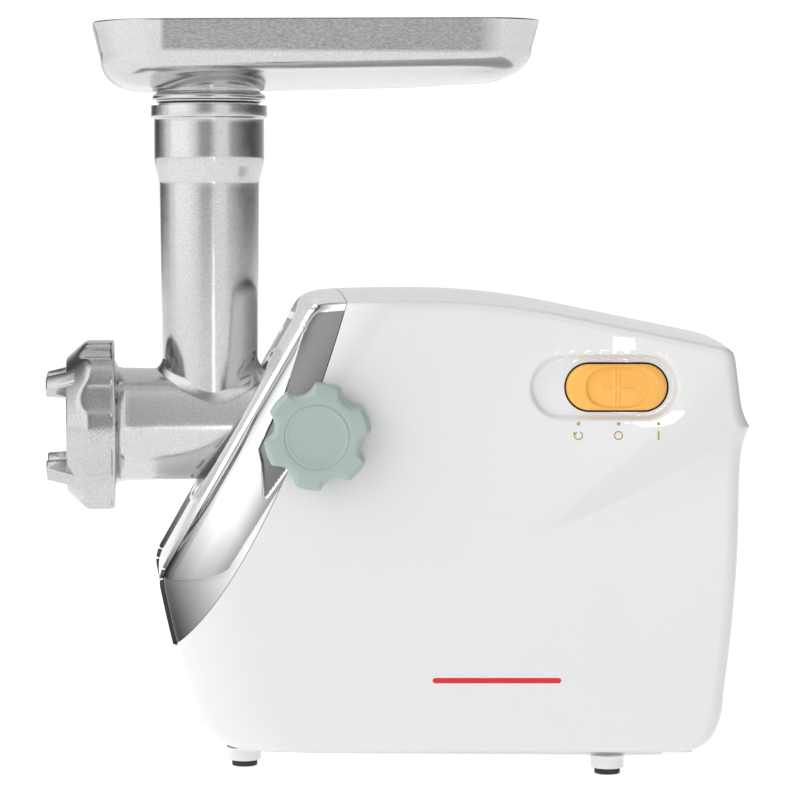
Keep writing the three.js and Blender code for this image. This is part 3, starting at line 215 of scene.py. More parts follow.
class Skin:
    """Collects grids and caps and turns them into one mesh."""

    def __init__(self) -> None:
        """Starts with nothing."""
        self.points: list[Array] = []
        self.faces: list[tuple[int, ...]] = []
        self.count = 0

    def grid(self, points: Array, close_u: bool = False, close_v: bool = False) -> "Skin":
        """Adds a grid of quads.

        Args:
            points: Points with shape (n, m, 3).
            close_u: Whether the last row joins the first.
            close_v: Whether the last column joins the first.

        Returns:
            The skin itself.
        """
        n, m = points.shape[:2]
        index = np.arange(n * m).reshape(n, m) + self.count
        if close_u:
            index = np.concatenate([index, index[:1]])
        if close_v:
            index = np.concatenate([index, index[:, :1]], axis=1)
        a, b, c, d = index[:-1, :-1], index[1:, :-1], index[1:, 1:], index[:-1, 1:]
        self.faces += list(map(tuple, np.stack([a, b, c, d], -1).reshape(-1, 4).tolist()))
        self.points.append(points.reshape(-1, 3))
        self.count += n * m
        return self

    def cap(self, ring: Array) -> "Skin":
        """Closes a ring of points with one face and returns the skin."""
        self.faces.append(tuple(range(self.count, self.count + len(ring))))
        self.points.append(np.asarray(ring, float))
        self.count += len(ring)
        return self

    def thing(self, name: str) -> bpy.types.Object:
        """Makes the mesh, welds its seams and turns its faces outwards.

        Args:
            name: Name of the object.

        Returns:
            The new object, linked to the scene.
        """
        mesh = bpy.data.meshes.new(name)
        mesh.from_pydata(metres(np.concatenate(self.points)).tolist(), [], self.faces)
        soup = bmesh.new()
        soup.from_mesh(mesh)
        bmesh.ops.remove_doubles(soup, verts=soup.verts, dist=2e-6)
        bmesh.ops.dissolve_degenerate(soup, dist=1e-7, edges=soup.edges)
        bmesh.ops.recalc_face_normals(soup, faces=soup.faces)
        soup.to_mesh(mesh)
        soup.free()
        thing = bpy.data.objects.new(name, mesh)
        bpy.context.scene.collection.objects.link(thing)
        return thing


def settle(thing: bpy.types.Object) -> bpy.types.Object:
    """Turns an object's modifiers into plain mesh and returns the object."""
    graph = bpy.context.evaluated_depsgraph_get()
    done = bpy.data.meshes.new_from_object(thing.evaluated_get(graph))
    thing.modifiers.clear()
    old = thing.data
    thing.data = done
    done.name = thing.name
    bpy.data.meshes.remove(old)
    return thing


class Join(Enum):
    """Ways of combining two solids."""

    CUT = "DIFFERENCE"
    ADD = "UNION"
    KEEP = "INTERSECT"


def combine(thing: bpy.types.Object, others: Iterable[bpy.types.Object], how: Join) -> bpy.types.Object:
    """Combines a solid with others, which are used up.

    Args:
        thing: The solid that stays.
        others: Solids to cut with, to add or to keep within.
        how: The operation.

    Returns:
        The solid that stays.
    """
    for other in others:
        tool = thing.modifiers.new("tool", "BOOLEAN")
        tool.operation = how.value
        tool.solver = "EXACT"
        tool.object = other
        settle(thing)
        bpy.data.objects.remove(other)
    return thing


def thicken(thing: bpy.types.Object, wall: float) -> bpy.types.Object:
    """Gives an open skin a wall on its inner side.

    Args:
        thing: The skin.
        wall: Thickness in millimetres.

    Returns:
        The same object.
    """
    tool = thing.modifiers.new("wall", "SOLIDIFY")
    tool.thickness = wall * MILLI
    tool.offset = -1
    return settle(thing)


def crisp(thing: bpy.types.Object, angle: float = 32) -> bpy.types.Object:
    """Shades an object smooth except over edges sharper than an angle in degrees."""
    soup = bmesh.new()
    soup.from_mesh(thing.data)
    limit = math.radians(angle)
    for face in soup.faces:
        face.smooth = True
    for edge in soup.edges:
        edge.smooth = len(edge.link_faces) == 2 and edge.calc_face_angle(0) < limit
    soup.to_mesh(thing.data)
    soup.free()
    return thing


def eased_edges(thing: bpy.types.Object, width: float, steps: int = 2) -> bpy.types.Object:
    """Rounds an object's sharp edges.

    Args:
        thing: The object.
        width: Width of the rounding in millimetres.
        steps: Number of facets in it.

    Returns:
        The same object.
    """
    tool = thing.modifiers.new("edge", "BEVEL")
    tool.width = width * MILLI
    tool.segments = steps
    tool.limit_method = "ANGLE"
    tool.angle_limit = math.radians(35)
    return settle(thing)


@dataclass(frozen=True)
class Frame:
    """A place with its own three directions, in the maker's frame."""

    origin: tuple[float, float, float]
    right: tuple[float, float, float]
    up: tuple[float, float, float]
    out: tuple[float, float, float]

    def place(self, local: Array) -> Array:
        """Moves points from (right, up, out) to the maker's frame.

        Args:
            local: Points with their three local numbers last.

        Returns:
            The points in the maker's frame.
        """
        basis = np.array([self.right, self.up, self.out], float)
        return np.asarray(local, float) @ basis + np.array(self.origin)


def along_x(x: float = 0.0, y: float = 0.0, z: float = AXIS_Z) -> Frame:
    """A frame whose third direction is +X."""
    return Frame((x, y, z), (0, 1, 0), (0, 0, 1), (1, 0, 0))


def along_z(x: float = 0.0, y: float = 0.0, z: float = 0.0) -> Frame:
    """A frame whose third direction is +Z."""
    return Frame((x, y, z), (1, 0, 0), (0, 1, 0), (0, 0, 1))


def rings(frame: Frame, radii: Array, stations: Array, phase: float = 0.0) -> Array:
    """Rings of points round a frame's third direction.

    Args:
        frame: Where the rings are.
        radii: One radius for each station, or one row of radii for each.
        stations: Places along the third direction.
        phase: Angle of the first point.

    Returns:
        Points with shape (stations, angles, 3).
    """
    count = radii.shape[1]
    angle = phase + np.arange(count) * TURN / count
    high = np.broadcast_to(np.asarray(stations, float).reshape(len(radii), -1), radii.shape)
    return frame.place(np.stack([radii * np.cos(angle), radii * np.sin(angle), high], -1))


def lathe(name: str, frame: Frame, profile: Table, count: int = 96) -> bpy.types.Object:
    """Revolves a profile that is closed on itself, or open on the axis.

    Args:
        name: Name of the object.
        frame: Its third direction is the axis.
        profile: (radius, station) pairs.
        count: Points round the axis.

    Returns:
        The new object.
    """
    table = np.array(profile, float)
    closed = bool(np.allclose(table[0], table[-1]))
    radii = np.repeat(np.maximum(table[:, :1], 1e-4), count, axis=1)
    return Skin().grid(rings(frame, radii, table[:, 1]), close_u=closed, close_v=True).thing(name)


def rod(radius: float, low: float, high: float) -> list[tuple[float, float]]:
    """Profile of a plain rod between two levels."""
    return [(0, low), (radius, low), (radius, high), (0, high)]


def block(low: tuple[float, float], high: tuple[float, float]) -> Array:
    """Outline of a rectangle between two opposite corners, counter-clockwise."""
    return np.array([low, (high[0], low[1]), high, (low[0], high[1])], float)


def dense(profile: Table, step: float) -> list[tuple[float, float]]:
    """Splits a profile's long runs.

    Args:
        profile: Points of the profile.
        step: Longest run that is kept.

    Returns:
        The same profile with more points.
    """
    made = [tuple(profile[0])]
    for a, b in zip(profile, profile[1:]):
        count = max(1, math.ceil(math.dist(a, b) / step))
        shares = [n / count for n in range(1, count + 1)]
        made += [(a[0] + (b[0] - a[0]) * share, a[1] + (b[1] - a[1]) * share) for share in shares]
    return made


def softened(profile: Table, radius: float, steps: int = 4) -> list[tuple[float, float]]:
    """Rounds the corners of a profile.

    Args:
        profile: Points; a profile that ends where it starts is closed.
        radius: Length cut off each side of a corner, at most.
        steps: Number of steps in each rounded corner.

    Returns:
        The rounded profile.
    """
    table = [np.array(p, float) for p in profile]
    closed = np.allclose(table[0], table[-1])
    core = table[:-1] if closed else table
    made: list[Array] = []
    for n, point in enumerate(core):
        if not closed and n in (0, len(core) - 1):
            made.append(point)
            continue
        before, after = core[n - 1] - point, core[(n + 1) % len(core)] - point
        reach = [min(radius, 0.45 * np.linalg.norm(arm)) for arm in (before, after)]
        start = point + before / np.linalg.norm(before) * reach[0]
        end = point + after / np.linalg.norm(after) * reach[1]
        for t in np.linspace(0, 1, steps + 1):
            made.append((1 - t) ** 2 * start + 2 * t * (1 - t) * point + t * t * end)
    if closed:
        made.append(made[0])
    return [(float(a), float(b)) for a, b in made]


def slab(
    name: str, frame: Frame, outline: Array, low: float, high: float, edge: float = 0.0
) -> bpy.types.Object:
    """An outline given a thickness, with its edges rounded.

    Args:
        name: Name of the object.
        frame: The outline lies in its first two directions.
        outline: Points of the outline, counter-clockwise.
        low: Lower face along the third direction.
        high: Upper face.
        edge: Radius of the rounded edges.

    Returns:
        The new object.
    """
    outline = np.asarray(outline, float)
    ahead = np.roll(outline, -1, axis=0) - np.roll(outline, 1, axis=0)
    inward = np.stack([-ahead[:, 1], ahead[:, 0]], -1)
    inward /= np.linalg.norm(inward, axis=1, keepdims=True)
    layers = []
    turns = np.linspace(0, math.pi / 2, 5) if edge > 0 else np.array([math.pi / 2])
    for t in turns:
        inset = edge * (1 - math.sin(t))
        layers.append((inset, low + edge * (1 - math.cos(t))))
    for t in turns[::-1]:
        layers.append((edge * (1 - math.sin(t)), high - edge * (1 - math.cos(t))))
    loops = [
        frame.place(np.column_stack([outline + inward * inset, np.full(len(outline), level)]))
        for inset, level in layers
    ]
    return Skin().grid(np.array(loops), close_v=True).cap(loops[0]).cap(loops[-1]).thing(name)


def stadium(length: float, height: float, count: int = 24) -> Array:
    """Outline of a slot with round ends, centred on its middle.

    Args:
        length: Over both ends.
        height: Across.
        count: Steps in each end.

    Returns:
        Points of the outline.
    """
    radius, arm = height / 2, (length - height) / 2
    turn = np.linspace(-math.pi / 2, math.pi / 2, count + 1)
    end = np.column_stack([arm + radius * np.cos(turn), radius * np.sin(turn)])
    return np.concatenate([end, -end])


def stadium_gap(x: Array, z: Array, length: float, height: float) -> Array:
    """Signed distance to a slot with round ends, negative inside it."""
    beyond = np.maximum(np.abs(x) - (length - height) / 2, 0)
    return np.hypot(beyond, z) - height / 2


# ---- finishes ----------------------------------------------------------------------------------


class Palette:
    """Builds one material's nodes."""

    def __init__(self, name: str) -> None:
        """Starts a material with its surface shader and object-space coordinates."""
        self.material = bpy.data.materials.new(name)
        self.material.use_nodes = True
        self.tree = self.material.node_tree
        self.shader = self.tree.nodes["Principled BSDF"]
        self.spot = self.tree.nodes.new("ShaderNodeTexCoord").outputs["Object"]

    def node(self, kind: str, links: dict[object, object] | None = None, **values: object) -> bpy.types.Node:
        """Adds a node.

        Args:
            kind: Blender's name of the node type.
            links: What goes into each socket: another socket, or a fixed value.
            values: Properties of the node itself.

        Returns:
            The new node.
        """
        node = self.tree.nodes.new(kind)
        for key, value in values.items():
            setattr(node, key, value)
        for key, value in (links or {}).items():
            if isinstance(value, bpy.types.NodeSocket):
                self.tree.links.new(value, node.inputs[key])
            else:
                node.inputs[key].default_value = value
        return node

    def stretched(self, scale: tuple[float, float, float]) -> bpy.types.NodeSocket:
        """Coordinates scaled along each axis."""
        return self.node("ShaderNodeMapping", {"Vector": self.spot, "Scale": scale}).outputs["Vector"]

    def noise(self, scale: float, detail: float = 3.0, spot: object = None) -> bpy.types.NodeSocket:
        """Noise of a scale per metre, from 0 to 1."""
        links = {"Vector": spot or self.spot, "Scale": scale, "Detail": detail}
        return self.node("ShaderNodeTexNoise", links).outputs["Fac"]

    def between(self, value: bpy.types.NodeSocket, low: float, high: float) -> bpy.types.NodeSocket:
        """Maps the middle of a noise's range onto low to high."""
        links = {"Value": value, "From Min": 0.25, "From Max": 0.75, "To Min": low, "To Max": high}
        return self.node("ShaderNodeMapRange", links).outputs["Result"]

    def tint(
        self,
        value: bpy.types.NodeSocket,
        low: Sequence[float],
        high: Sequence[float],
    ) -> bpy.types.NodeSocket:
        """Mixes two colours by a value from 0 to 1.

        Args:
            value: The share of the second colour.
            low: First colour.
            high: Second colour.

        Returns:
            The mixed colour.
        """
        mix = self.node("ShaderNodeMix", data_type="RGBA")
        self.tree.links.new(value, mix.inputs[0])
        mix.inputs[6].default_value = (*low, 1)
        mix.inputs[7].default_value = (*high, 1)
        return mix.outputs[2]

    def bump(self, height: bpy.types.NodeSocket, depth: float, strength: float = 1.0) -> None:
        """Presses a height pattern into the surface.

        Args:
            height: The pattern.
            depth: Its depth in millimetres.
            strength: How much of it shows.
        """
        links = {"Height": height, "Distance": depth * MILLI, "Strength": strength}
        bump = self.node("ShaderNodeBump", links)
        self.tree.links.new(bump.outputs["Normal"], self.shader.inputs["Normal"])

    def set(self, **values: object) -> None:
        """Sets sockets of the surface shader; an underscore stands for a space."""
        for key, value in values.items():
            socket = self.shader.inputs[key.replace("_", " ")]
            if isinstance(value, bpy.types.NodeSocket):
                self.tree.links.new(value, socket)
            else:
                socket.default_value = value


@dataclass(frozen=True)
class MouldedPlastic:
    """Injection moulded plastic with a faint orange peel."""

    name: str
    colour: tuple[float, float, float]
    shade: tuple[float, float, float]
    roughness: float = 0.25
    coat: float = 0.0
    grain: float = 900.0
    depth: float = 0.004
    subsurface: float = 0.0

    def make(self) -> bpy.types.Material:
        """Builds the material."""
        p = Palette(self.name)
        cloud = p.noise(9.0, 2.0)
        p.set(
            Base_Color=p.tint(p.between(cloud, 0.0, 1.0), self.colour, self.shade),
            Roughness=p.between(p.noise(60.0), self.roughness * 0.85, self.roughness * 1.2),
            Coat_Weight=self.coat,
            Coat_Roughness=0.015,
            Subsurface_Weight=self.subsurface,
            Subsurface_Scale=0.002,
        )
        p.bump(p.noise(self.grain, 2.0), self.depth)
        return p.material


@dataclass(frozen=True)
class MirrorPlating:
    """Bright plating over plastic, with faint wipe marks, its colour painted darker along one direction as
    painted shade in its reflection.
    """

    name: str
    colour: tuple[float, float, float]
    roughness: float = 0.02
    fade: tuple[float, float, float] = (0.0, 0.0, 0.0)
    fade_from: float = 1.0
    painted_shade_share: float = 0.05

    def make(self) -> bpy.types.Material:
        """Builds the material."""
        p = Palette(self.name)
        wipes = p.noise(30.0, 4.0, p.stretched((1.0, 1.0, 5.0)))
        # Painted shade: along the fade's direction the colour falls to a small share of itself, dimming the
        # reflection.
        slope = p.node("ShaderNodeVectorMath", {0: p.spot, 1: self.fade}, operation="DOT_PRODUCT")
        level = p.node("ShaderNodeMath", {0: slope.outputs["Value"], 1: self.fade_from}, operation="ADD",
                       use_clamp=True)
        p.set(
            Base_Color=p.tint(level.outputs[0], [self.painted_shade_share * c for c in self.colour], self.colour),
            Metallic=1.0,
            Roughness=p.between(wipes, self.roughness, self.roughness + 0.04),
        )
        p.bump(p.noise(25.0, 1.0), 0.02)
        return p.material


@dataclass(frozen=True)
class CastMetal:
    """Tumbled cast metal: fine speckle, shallow pits and soft sheen."""

    name: str
    colour: tuple[float, float, float]
    shade: tuple[float, float, float]
    roughness: float = 0.17
    speckle: float = 1700.0
    depth: float = 0.009
    darker_from: float = 9.0
    darker_span: tuple[float, float] = (-0.114, 0.044)
    darker_share: float = 0.5

    def make(self) -> bpy.types.Material:
        """Builds the material."""
        p = Palette(self.name)
        fine = p.noise(self.speckle, 4.0)
        wide = p.noise(90.0, 3.0)
        height = p.node("ShaderNodeSeparateXYZ", {0: p.spot}).outputs["Z"]
        place = p.node("ShaderNodeSeparateXYZ", {0: p.spot}).outputs["X"]
        # Above a height and between two places along X the colour drops to a share of itself, with streaks.
        start, end = self.darker_span
        edges = ((height, self.darker_from, 0.001), (place, start, 0.0012), (place, end, -0.006))
        spans = [{"Value": value, "From Min": at - soft, "From Max": at + soft} for value, at, soft in edges]
        steps = [p.node("ShaderNodeMapRange", span).outputs[0] for span in spans]
        both = p.node("ShaderNodeMath", {0: steps[0], 1: steps[1]}, operation="MULTIPLY").outputs[0]
        zone = p.node("ShaderNodeMath", {0: both, 1: steps[2]}, operation="MULTIPLY").outputs[0]
        clean = p.tint(p.between(fine, 0.0, 1.0), self.shade, self.colour)
        streaks = p.noise(self.speckle * 1.1, 4.0, p.stretched((0.3, 1.0, 1.0)))
        darker_colour = [self.darker_share * c for c in self.colour]
        darker_streaked = p.tint(p.between(streaks, 0.0, 1.0), [0.6 * c for c in darker_colour], [1.25 * c for c in darker_colour])
        mix = p.node("ShaderNodeMix", {0: zone, 6: clean, 7: darker_streaked}, data_type="RGBA")
        p.set(
            Base_Color=mix.outputs[2],
            Metallic=1.0,
            Roughness=p.between(wide, self.roughness * 0.8, self.roughness * 1.2),
        )
        p.bump(fine, self.depth)
        return p.material


@dataclass(frozen=True)
class TurnedMetal:
    """Metal with fine tool lines round an axis along X."""

    name: str
    colour: tuple[float, float, float]
    roughness: float = 0.25
    lines: float = 1800.0

    def make(self) -> bpy.types.Material:
        """Builds the material."""
        p = Palette(self.name)
        cuts = p.noise(self.lines, 2.0, p.stretched((1.0, 0.04, 0.04)))
        p.set(
            Base_Color=p.tint(p.between(cuts, 0.0, 1.0), [0.86 * c for c in self.colour], self.colour),
            Metallic=1.0,
            Roughness=p.between(p.noise(120.0), self.roughness * 0.8, self.roughness * 1.25),
        )
        p.bump(cuts, 0.012)
        return p.material


@dataclass(frozen=True)
class MouldedRubber:
    """Matt rubber with a fine spark-eroded texture."""

    name: str
    colour: tuple[float, float, float]
    roughness: float = 0.75

    def make(self) -> bpy.types.Material:
        """Builds the material."""
        p = Palette(self.name)
        grain = p.noise(1600.0, 2.0)
        p.set(
            Base_Color=p.tint(p.between(grain, 0.0, 1.0), self.colour, [1.6 * c for c in self.colour]),
            Roughness=p.between(p.noise(200.0), self.roughness * 0.9, min(1.0, self.roughness * 1.15)),
        )
        p.bump(grain, 0.03)
        return p.material


@dataclass(frozen=True)
class PrintedInk:
    """Thin screen-printed ink."""

    name: str
    colour: tuple[float, float, float]
    metallic: float = 0.0

    def make(self) -> bpy.types.Material:
        """Builds the material."""
        p = Palette(self.name)
        speck = p.noise(2500.0, 2.0)
        p.set(
            Base_Color=p.tint(p.between(speck, 0.0, 1.0), self.colour, [0.8 * c for c in self.colour]),
            Metallic=self.metallic,
            Roughness=0.35,
        )
        return p.material


FINISHES = {
    "white_plastic": MouldedPlastic(
        "white shell", (0.74, 0.742, 0.745), (0.72, 0.722, 0.726), 0.2, coat=1.0, depth=0.0008
    ),
    # The trim's fade paints shade into its reflection towards its lower front.
    "chrome_trim": MirrorPlating("mirror trim", (0.9, 0.905, 0.91), 0.02, (21.7, 0.0, 7.7), 1.80),
    "cast_aluminium": CastMetal("cast aluminium", (0.70, 0.70, 0.705), (0.50, 0.50, 0.505)),
    "steel": TurnedMetal("ground steel", (0.62, 0.63, 0.65)),
    "green_plastic": MouldedPlastic("sage knob", (0.36, 0.445, 0.405), (0.345, 0.425, 0.39), 0.24, 0.2),
    "yellow_plastic": MouldedPlastic("amber rocker", (0.93, 0.47, 0.085), (0.91, 0.45, 0.08), 0.26, 0.2),
    "black_rubber": MouldedRubber("foot rubber", (0.022, 0.022, 0.023)),
    "black_plastic": MouldedRubber("black moulding", (0.03, 0.03, 0.033), 0.5),
    "brass": TurnedMetal("turned brass", (0.72, 0.52, 0.22)),
    "copper": TurnedMetal("enamelled winding", (0.62, 0.27, 0.13), 0.3, 3000.0),
    "nylon": MouldedPlastic("gear nylon", (0.78, 0.76, 0.69), (0.74, 0.72, 0.65), 0.4, subsurface=0.1),
    "carbon": MouldedRubber("pressed carbon", (0.04, 0.04, 0.042), 0.6),
}


class Workshop:
    """Holds the finished materials and fits pieces to the frame."""

    def __init__(self, frame: dict) -> None:
        """Makes every finish once."""
        self.nodes = frame["nodes"]
        self.slot_of = {p["node"]: p["material_slot"] for p in frame["record"]["subparts"]}
        self.materials = {name: finish.make() for name, finish in FINISHES.items()}
        alloy = FINISHES["cast_aluminium"]
        # The tray casting's colour drops over its walls above 350.5 mm high, between the span's two places
        # along X.
        self.tray_alloy = replace(alloy, name="tray casting", darker_from=0.3505).make()
        self.nut_alloy = replace(alloy, name="nut casting", colour=(0.66, 0.66, 0.665),
                                 shade=(0.4, 0.4, 0.405)).make()
        self.gold = PrintedInk("gold print", (0.50, 0.33, 0.10), 0.6).make()
        # Dark satin for the trim's pocket floor, its own finish; on the pocket's sloped head it also paints
        # shade.
        self.satin_and_shade = MirrorPlating("satin trim", (0.24, 0.24, 0.243), 0.34).make()
        self.red = PrintedInk("red print", (0.72, 0.012, 0.02)).make()
        self.covered: set[str] = set()

    def fit(
        self,
        thing: bpy.types.Object,
        body: str,
        slot: str,
        covers: Sequence[str] = (),
        ink: bpy.types.Material | None = None,
        angle: float = 32,
    ) -> bpy.types.Object:
        """Dresses a piece and puts it on its body.

        Args:
            thing: The piece.
            body: The body it moves with.
            slot: The material slot it takes its finish from.
            covers: CAD nodes it stands for.
            ink: Material that is used instead of the slot's.
            angle: Edges sharper than this stay sharp.

        Returns:
            The piece.
        """
        thing.data.materials.clear()
        thing.data.materials.append(ink or self.materials[slot])
        crisp(thing, angle)
        if covers:
            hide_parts(*covers)
            self.covered.update(covers)
        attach(thing, body)
        LOG.info("%s: %d faces on %s", thing.name, len(thing.data.polygons), body)
        return thing

    def dress_frame(self) -> None:
        """Gives every CAD node that still shows its own finish."""
        for name, node in self.nodes.items():
            if name in self.covered:
                continue
            material = self.materials[self.slot_of[name]]
            for holder in node.material_slots:
                holder.material = material
        LOG.info("frame: %d nodes carried over", len(self.nodes) - len(self.covered))


# ---- housing surface ---------------------------------------------------------------------------


@dataclass(frozen=True)
class HousingForm:
    """The outer surface that the shell, the fascia and the corner trims share."""

    bottom_z: float = 13.0
    low_front_x: float = 6.0
    chin: tuple[float, float] = (-26.0, 96.0)
    brow: tuple[float, float] = (43.0, 217.0)
    top_z: float = 230.8
    top_front_x: float = 58.0
    top_bend_x: float = 136.0
    top_rear: tuple[float, float] = (243.0, 208.5)
    rear_x: float = 251.5
    ridge: tuple[float, float] = (256.4, 170.0)
    rear_foot_x: float = 230.0
    half_width: float = 88.4
    taper: float = 0.103
    corner_width: float = 18.0
    corner_depth: float = 36.0
    edge_radius: float = 4.0
    rear_radius: float = 8.0
    front_crown: float = 1.0
    top_crown: float = 4.0
    band_tip: tuple[float, float] = (-19.5, 63.0)
    band_top_x: float = 63.0
    wall: float = 2.3

    @property
    def front(self) -> Line:
        """Front edge of the side view, from the floor up to the brow."""
        x, z = self.low_front_x, self.bottom_z
        (cx, cz), (bx, bz) = self.chin, self.brow
        line = Line(x, z).bend(x - 12, z + 5, x - 17, z + 21)
        line.bend(cx + 6.5, self.band_tip[1], cx + 1.2, cz - 6).bend(cx, cz, cx + 3, cz + 5.4)
        return line.to(bx, bz).bend(bx + 2.6, bz + 6, bx + 6, self.top_z - 3.2)

    @property
    def top(self) -> Line:
        """Top edge of the side view, from the brow to the rear."""
        x, z, bend = self.brow[0], self.top_z, self.top_bend_x
        (rx, rz) = self.top_rear
        fall = (z - rz) / (rx - bend)
        line = Line(x + 6, z - 3.2).bend(x + 9, z - 0.8, self.top_front_x + 6, z - 0.4)
        line.bend(self.top_front_x + 24, z + 0.2, bend - 34, z).bend(bend, z, bend + 34, z - 34 * fall)
        return line.to(rx, rz).bend(rx + 5, rz - 1.2, rx + 6, rz - 4)

    @property
    def rear(self) -> Line:
        """Rear edge of the side view, from the floor up over the ridge."""
        x, (gx, gz) = self.rear_x, self.ridge
        line = Line(self.rear_foot_x, self.bottom_z)
        line.bend(x - 7.5, self.bottom_z + 3, x - 6.5, self.bottom_z + 28).bend(x, 90, x, 130)
        line.bend(x, gz - 15, x + 1.8, gz - 8).bend(x + 3.6, gz - 3.2, gx - 0.4, gz - 0.8, count=12)
        line.bend(gx + 0.1, gz, gx - 0.5, gz + 1, count=6).bend(x + 1.2, gz + 6, x + 0.2, gz + 14, count=14)
        return line.to(self.top_rear[0] + 6, self.top_rear[1] - 4)

    @property
    def band(self) -> Line:
        """Rear edge of the chrome corner, from its lower tip to the top."""
        (x, z), end = self.band_tip, self.band_top_x
        return Line(x, z).bend(20, 100, 50, 185, end, self.top_z - 1, count=160)

    def side(self, x: Array) -> Array:
        """Half width of the flat sides, which narrow towards the front."""
        return self.half_width - self.taper * (self.rear_x - x)

    def width(self, x: Array, z: Array) -> Array:
        """Half width of the housing anywhere in the side view.

        Args:
            x: Places along the housing.
            z: Heights.

        Returns:
            Half widths with all three roundings taken off.
        """
        front, top, rear = self.front.places, self.top.places, self.rear.places
        from_front = (x - np.interp(z, front[:, 1], front[:, 0])) / self.corner_depth
        from_top = (np.interp(x, top[:, 0], top[:, 1]) - z) / self.edge_radius
        from_rear = (np.interp(z, rear[:, 1], rear[:, 0]) - x) / self.rear_radius
        lost = self.corner_width * rounding(from_front) + self.edge_radius * rounding(from_top)
        return self.side(x) - lost - self.rear_radius * rounding(from_rear)

    def raised(self, edge: Array, crown: Array, y: Array) -> Array:
        """Points over the outline of the side view, where the surface is crowned.

        Args:
            edge: Points (x, z) along the outline.
            crown: Rise of the surface's middle at each point.
            y: Places across the housing, one row for each point.

        Returns:
            Grid with the shape of y and x, y, z last.
        """
        slope = np.gradient(edge, axis=0)
        slope /= np.maximum(1e-9, np.linalg.norm(slope, axis=1, keepdims=True))
        half = self.width(edge[:, 0], edge[:, 1])
        rise = crown[:, None] * (1 - (y / half[:, None]) ** 2)
        x = edge[:, :1] + slope[:, 1:] * rise
        z = edge[:, 1:] - slope[:, :1] * rise
        return np.stack([x, y, z], -1)

    def across(self, edge: Array, crown: Array, count: int, rim: Array | None = None) -> Array:
        """A crowned strip from one side of the housing to the other.

        Args:
            edge: Points (x, z) along the strip.
            crown: Rise of the strip's middle at each point.
            count: Steps across.
            rim: Half width at each point, where it isn't the housing's.

        Returns:
            Grid with shape (len(edge), count + 1, 3).
        """
        half = self.width(edge[:, 0], edge[:, 1]) if rim is None else rim
        share = np.linspace(-1, 1, count + 1)
        share = np.sin(share * math.pi / 2) * 0.35 + share * 0.65
        return self.raised(edge, crown, half[:, None] * share[None])

    def front_rise(self, z: Array) -> Array:
        """Crown of the front, which grows over the brow into the top's."""
        return self.front_crown + (self.top_crown - self.front_crown) * ease(self.brow[1] + 2,
                                                                             self.top_z - 2, z)

    def side_frame(self, x: float, z: float) -> Frame:
        """A frame on the switch side's surface whose third direction points outwards."""
        lean = math.hypot(1, self.taper)
        side = float(self.side(np.float64(x)))
        return Frame(
            (x, -side, z),
            (1 / lean, -self.taper / lean, 0),
            (0, 0, 1),
            (-self.taper / lean, -1 / lean, 0),
        )


FORM = HousingForm()


@dataclass(frozen=True)
class Shoulder:
    """The long crease that runs from the rear ridge down into the flat side."""

    foot: tuple[float, float] = (70.0, 92.0)
    foot_pull: tuple[float, float] = (120.0, 99.5)
    waist: tuple[float, float] = (196.0, 136.0)
    waist_pull: tuple[float, float] = (220.0, 146.5)
    ridge: tuple[float, float] = (262.0, 173.6)
    height: float = 3.3
    above: float = 26.0
    below: float = 9.0
    fade: tuple[float, float] = (118.0, 252.0)

    def line(self) -> Array:
        """The crease in the side view, two bends that meet at its waist."""
        return Line(*self.foot).bend(*self.foot_pull, *self.waist).bend(*self.waist_pull, *self.ridge).places

    def rise(self, x: Array, z: Array) -> Array:
        """How far the crease stands out of the side.

        Args:
            x: Places along the housing.
            z: Heights.

        Returns:
            Distances outwards.
        """
        along, height = self.line().T
        level = np.interp(x, along, height)
        slope = np.interp(x, along, np.gradient(height, along))
        off = (z - level) / np.sqrt(1 + slope * slope)
        share = ease(*self.fade, x)
        under = self.below + 34 * (1 - share)
        crest = np.where(off > 0, np.exp(-2.4 * off / self.above), np.exp(3.0 * off / under))
        return self.height * share**1.1 * crest


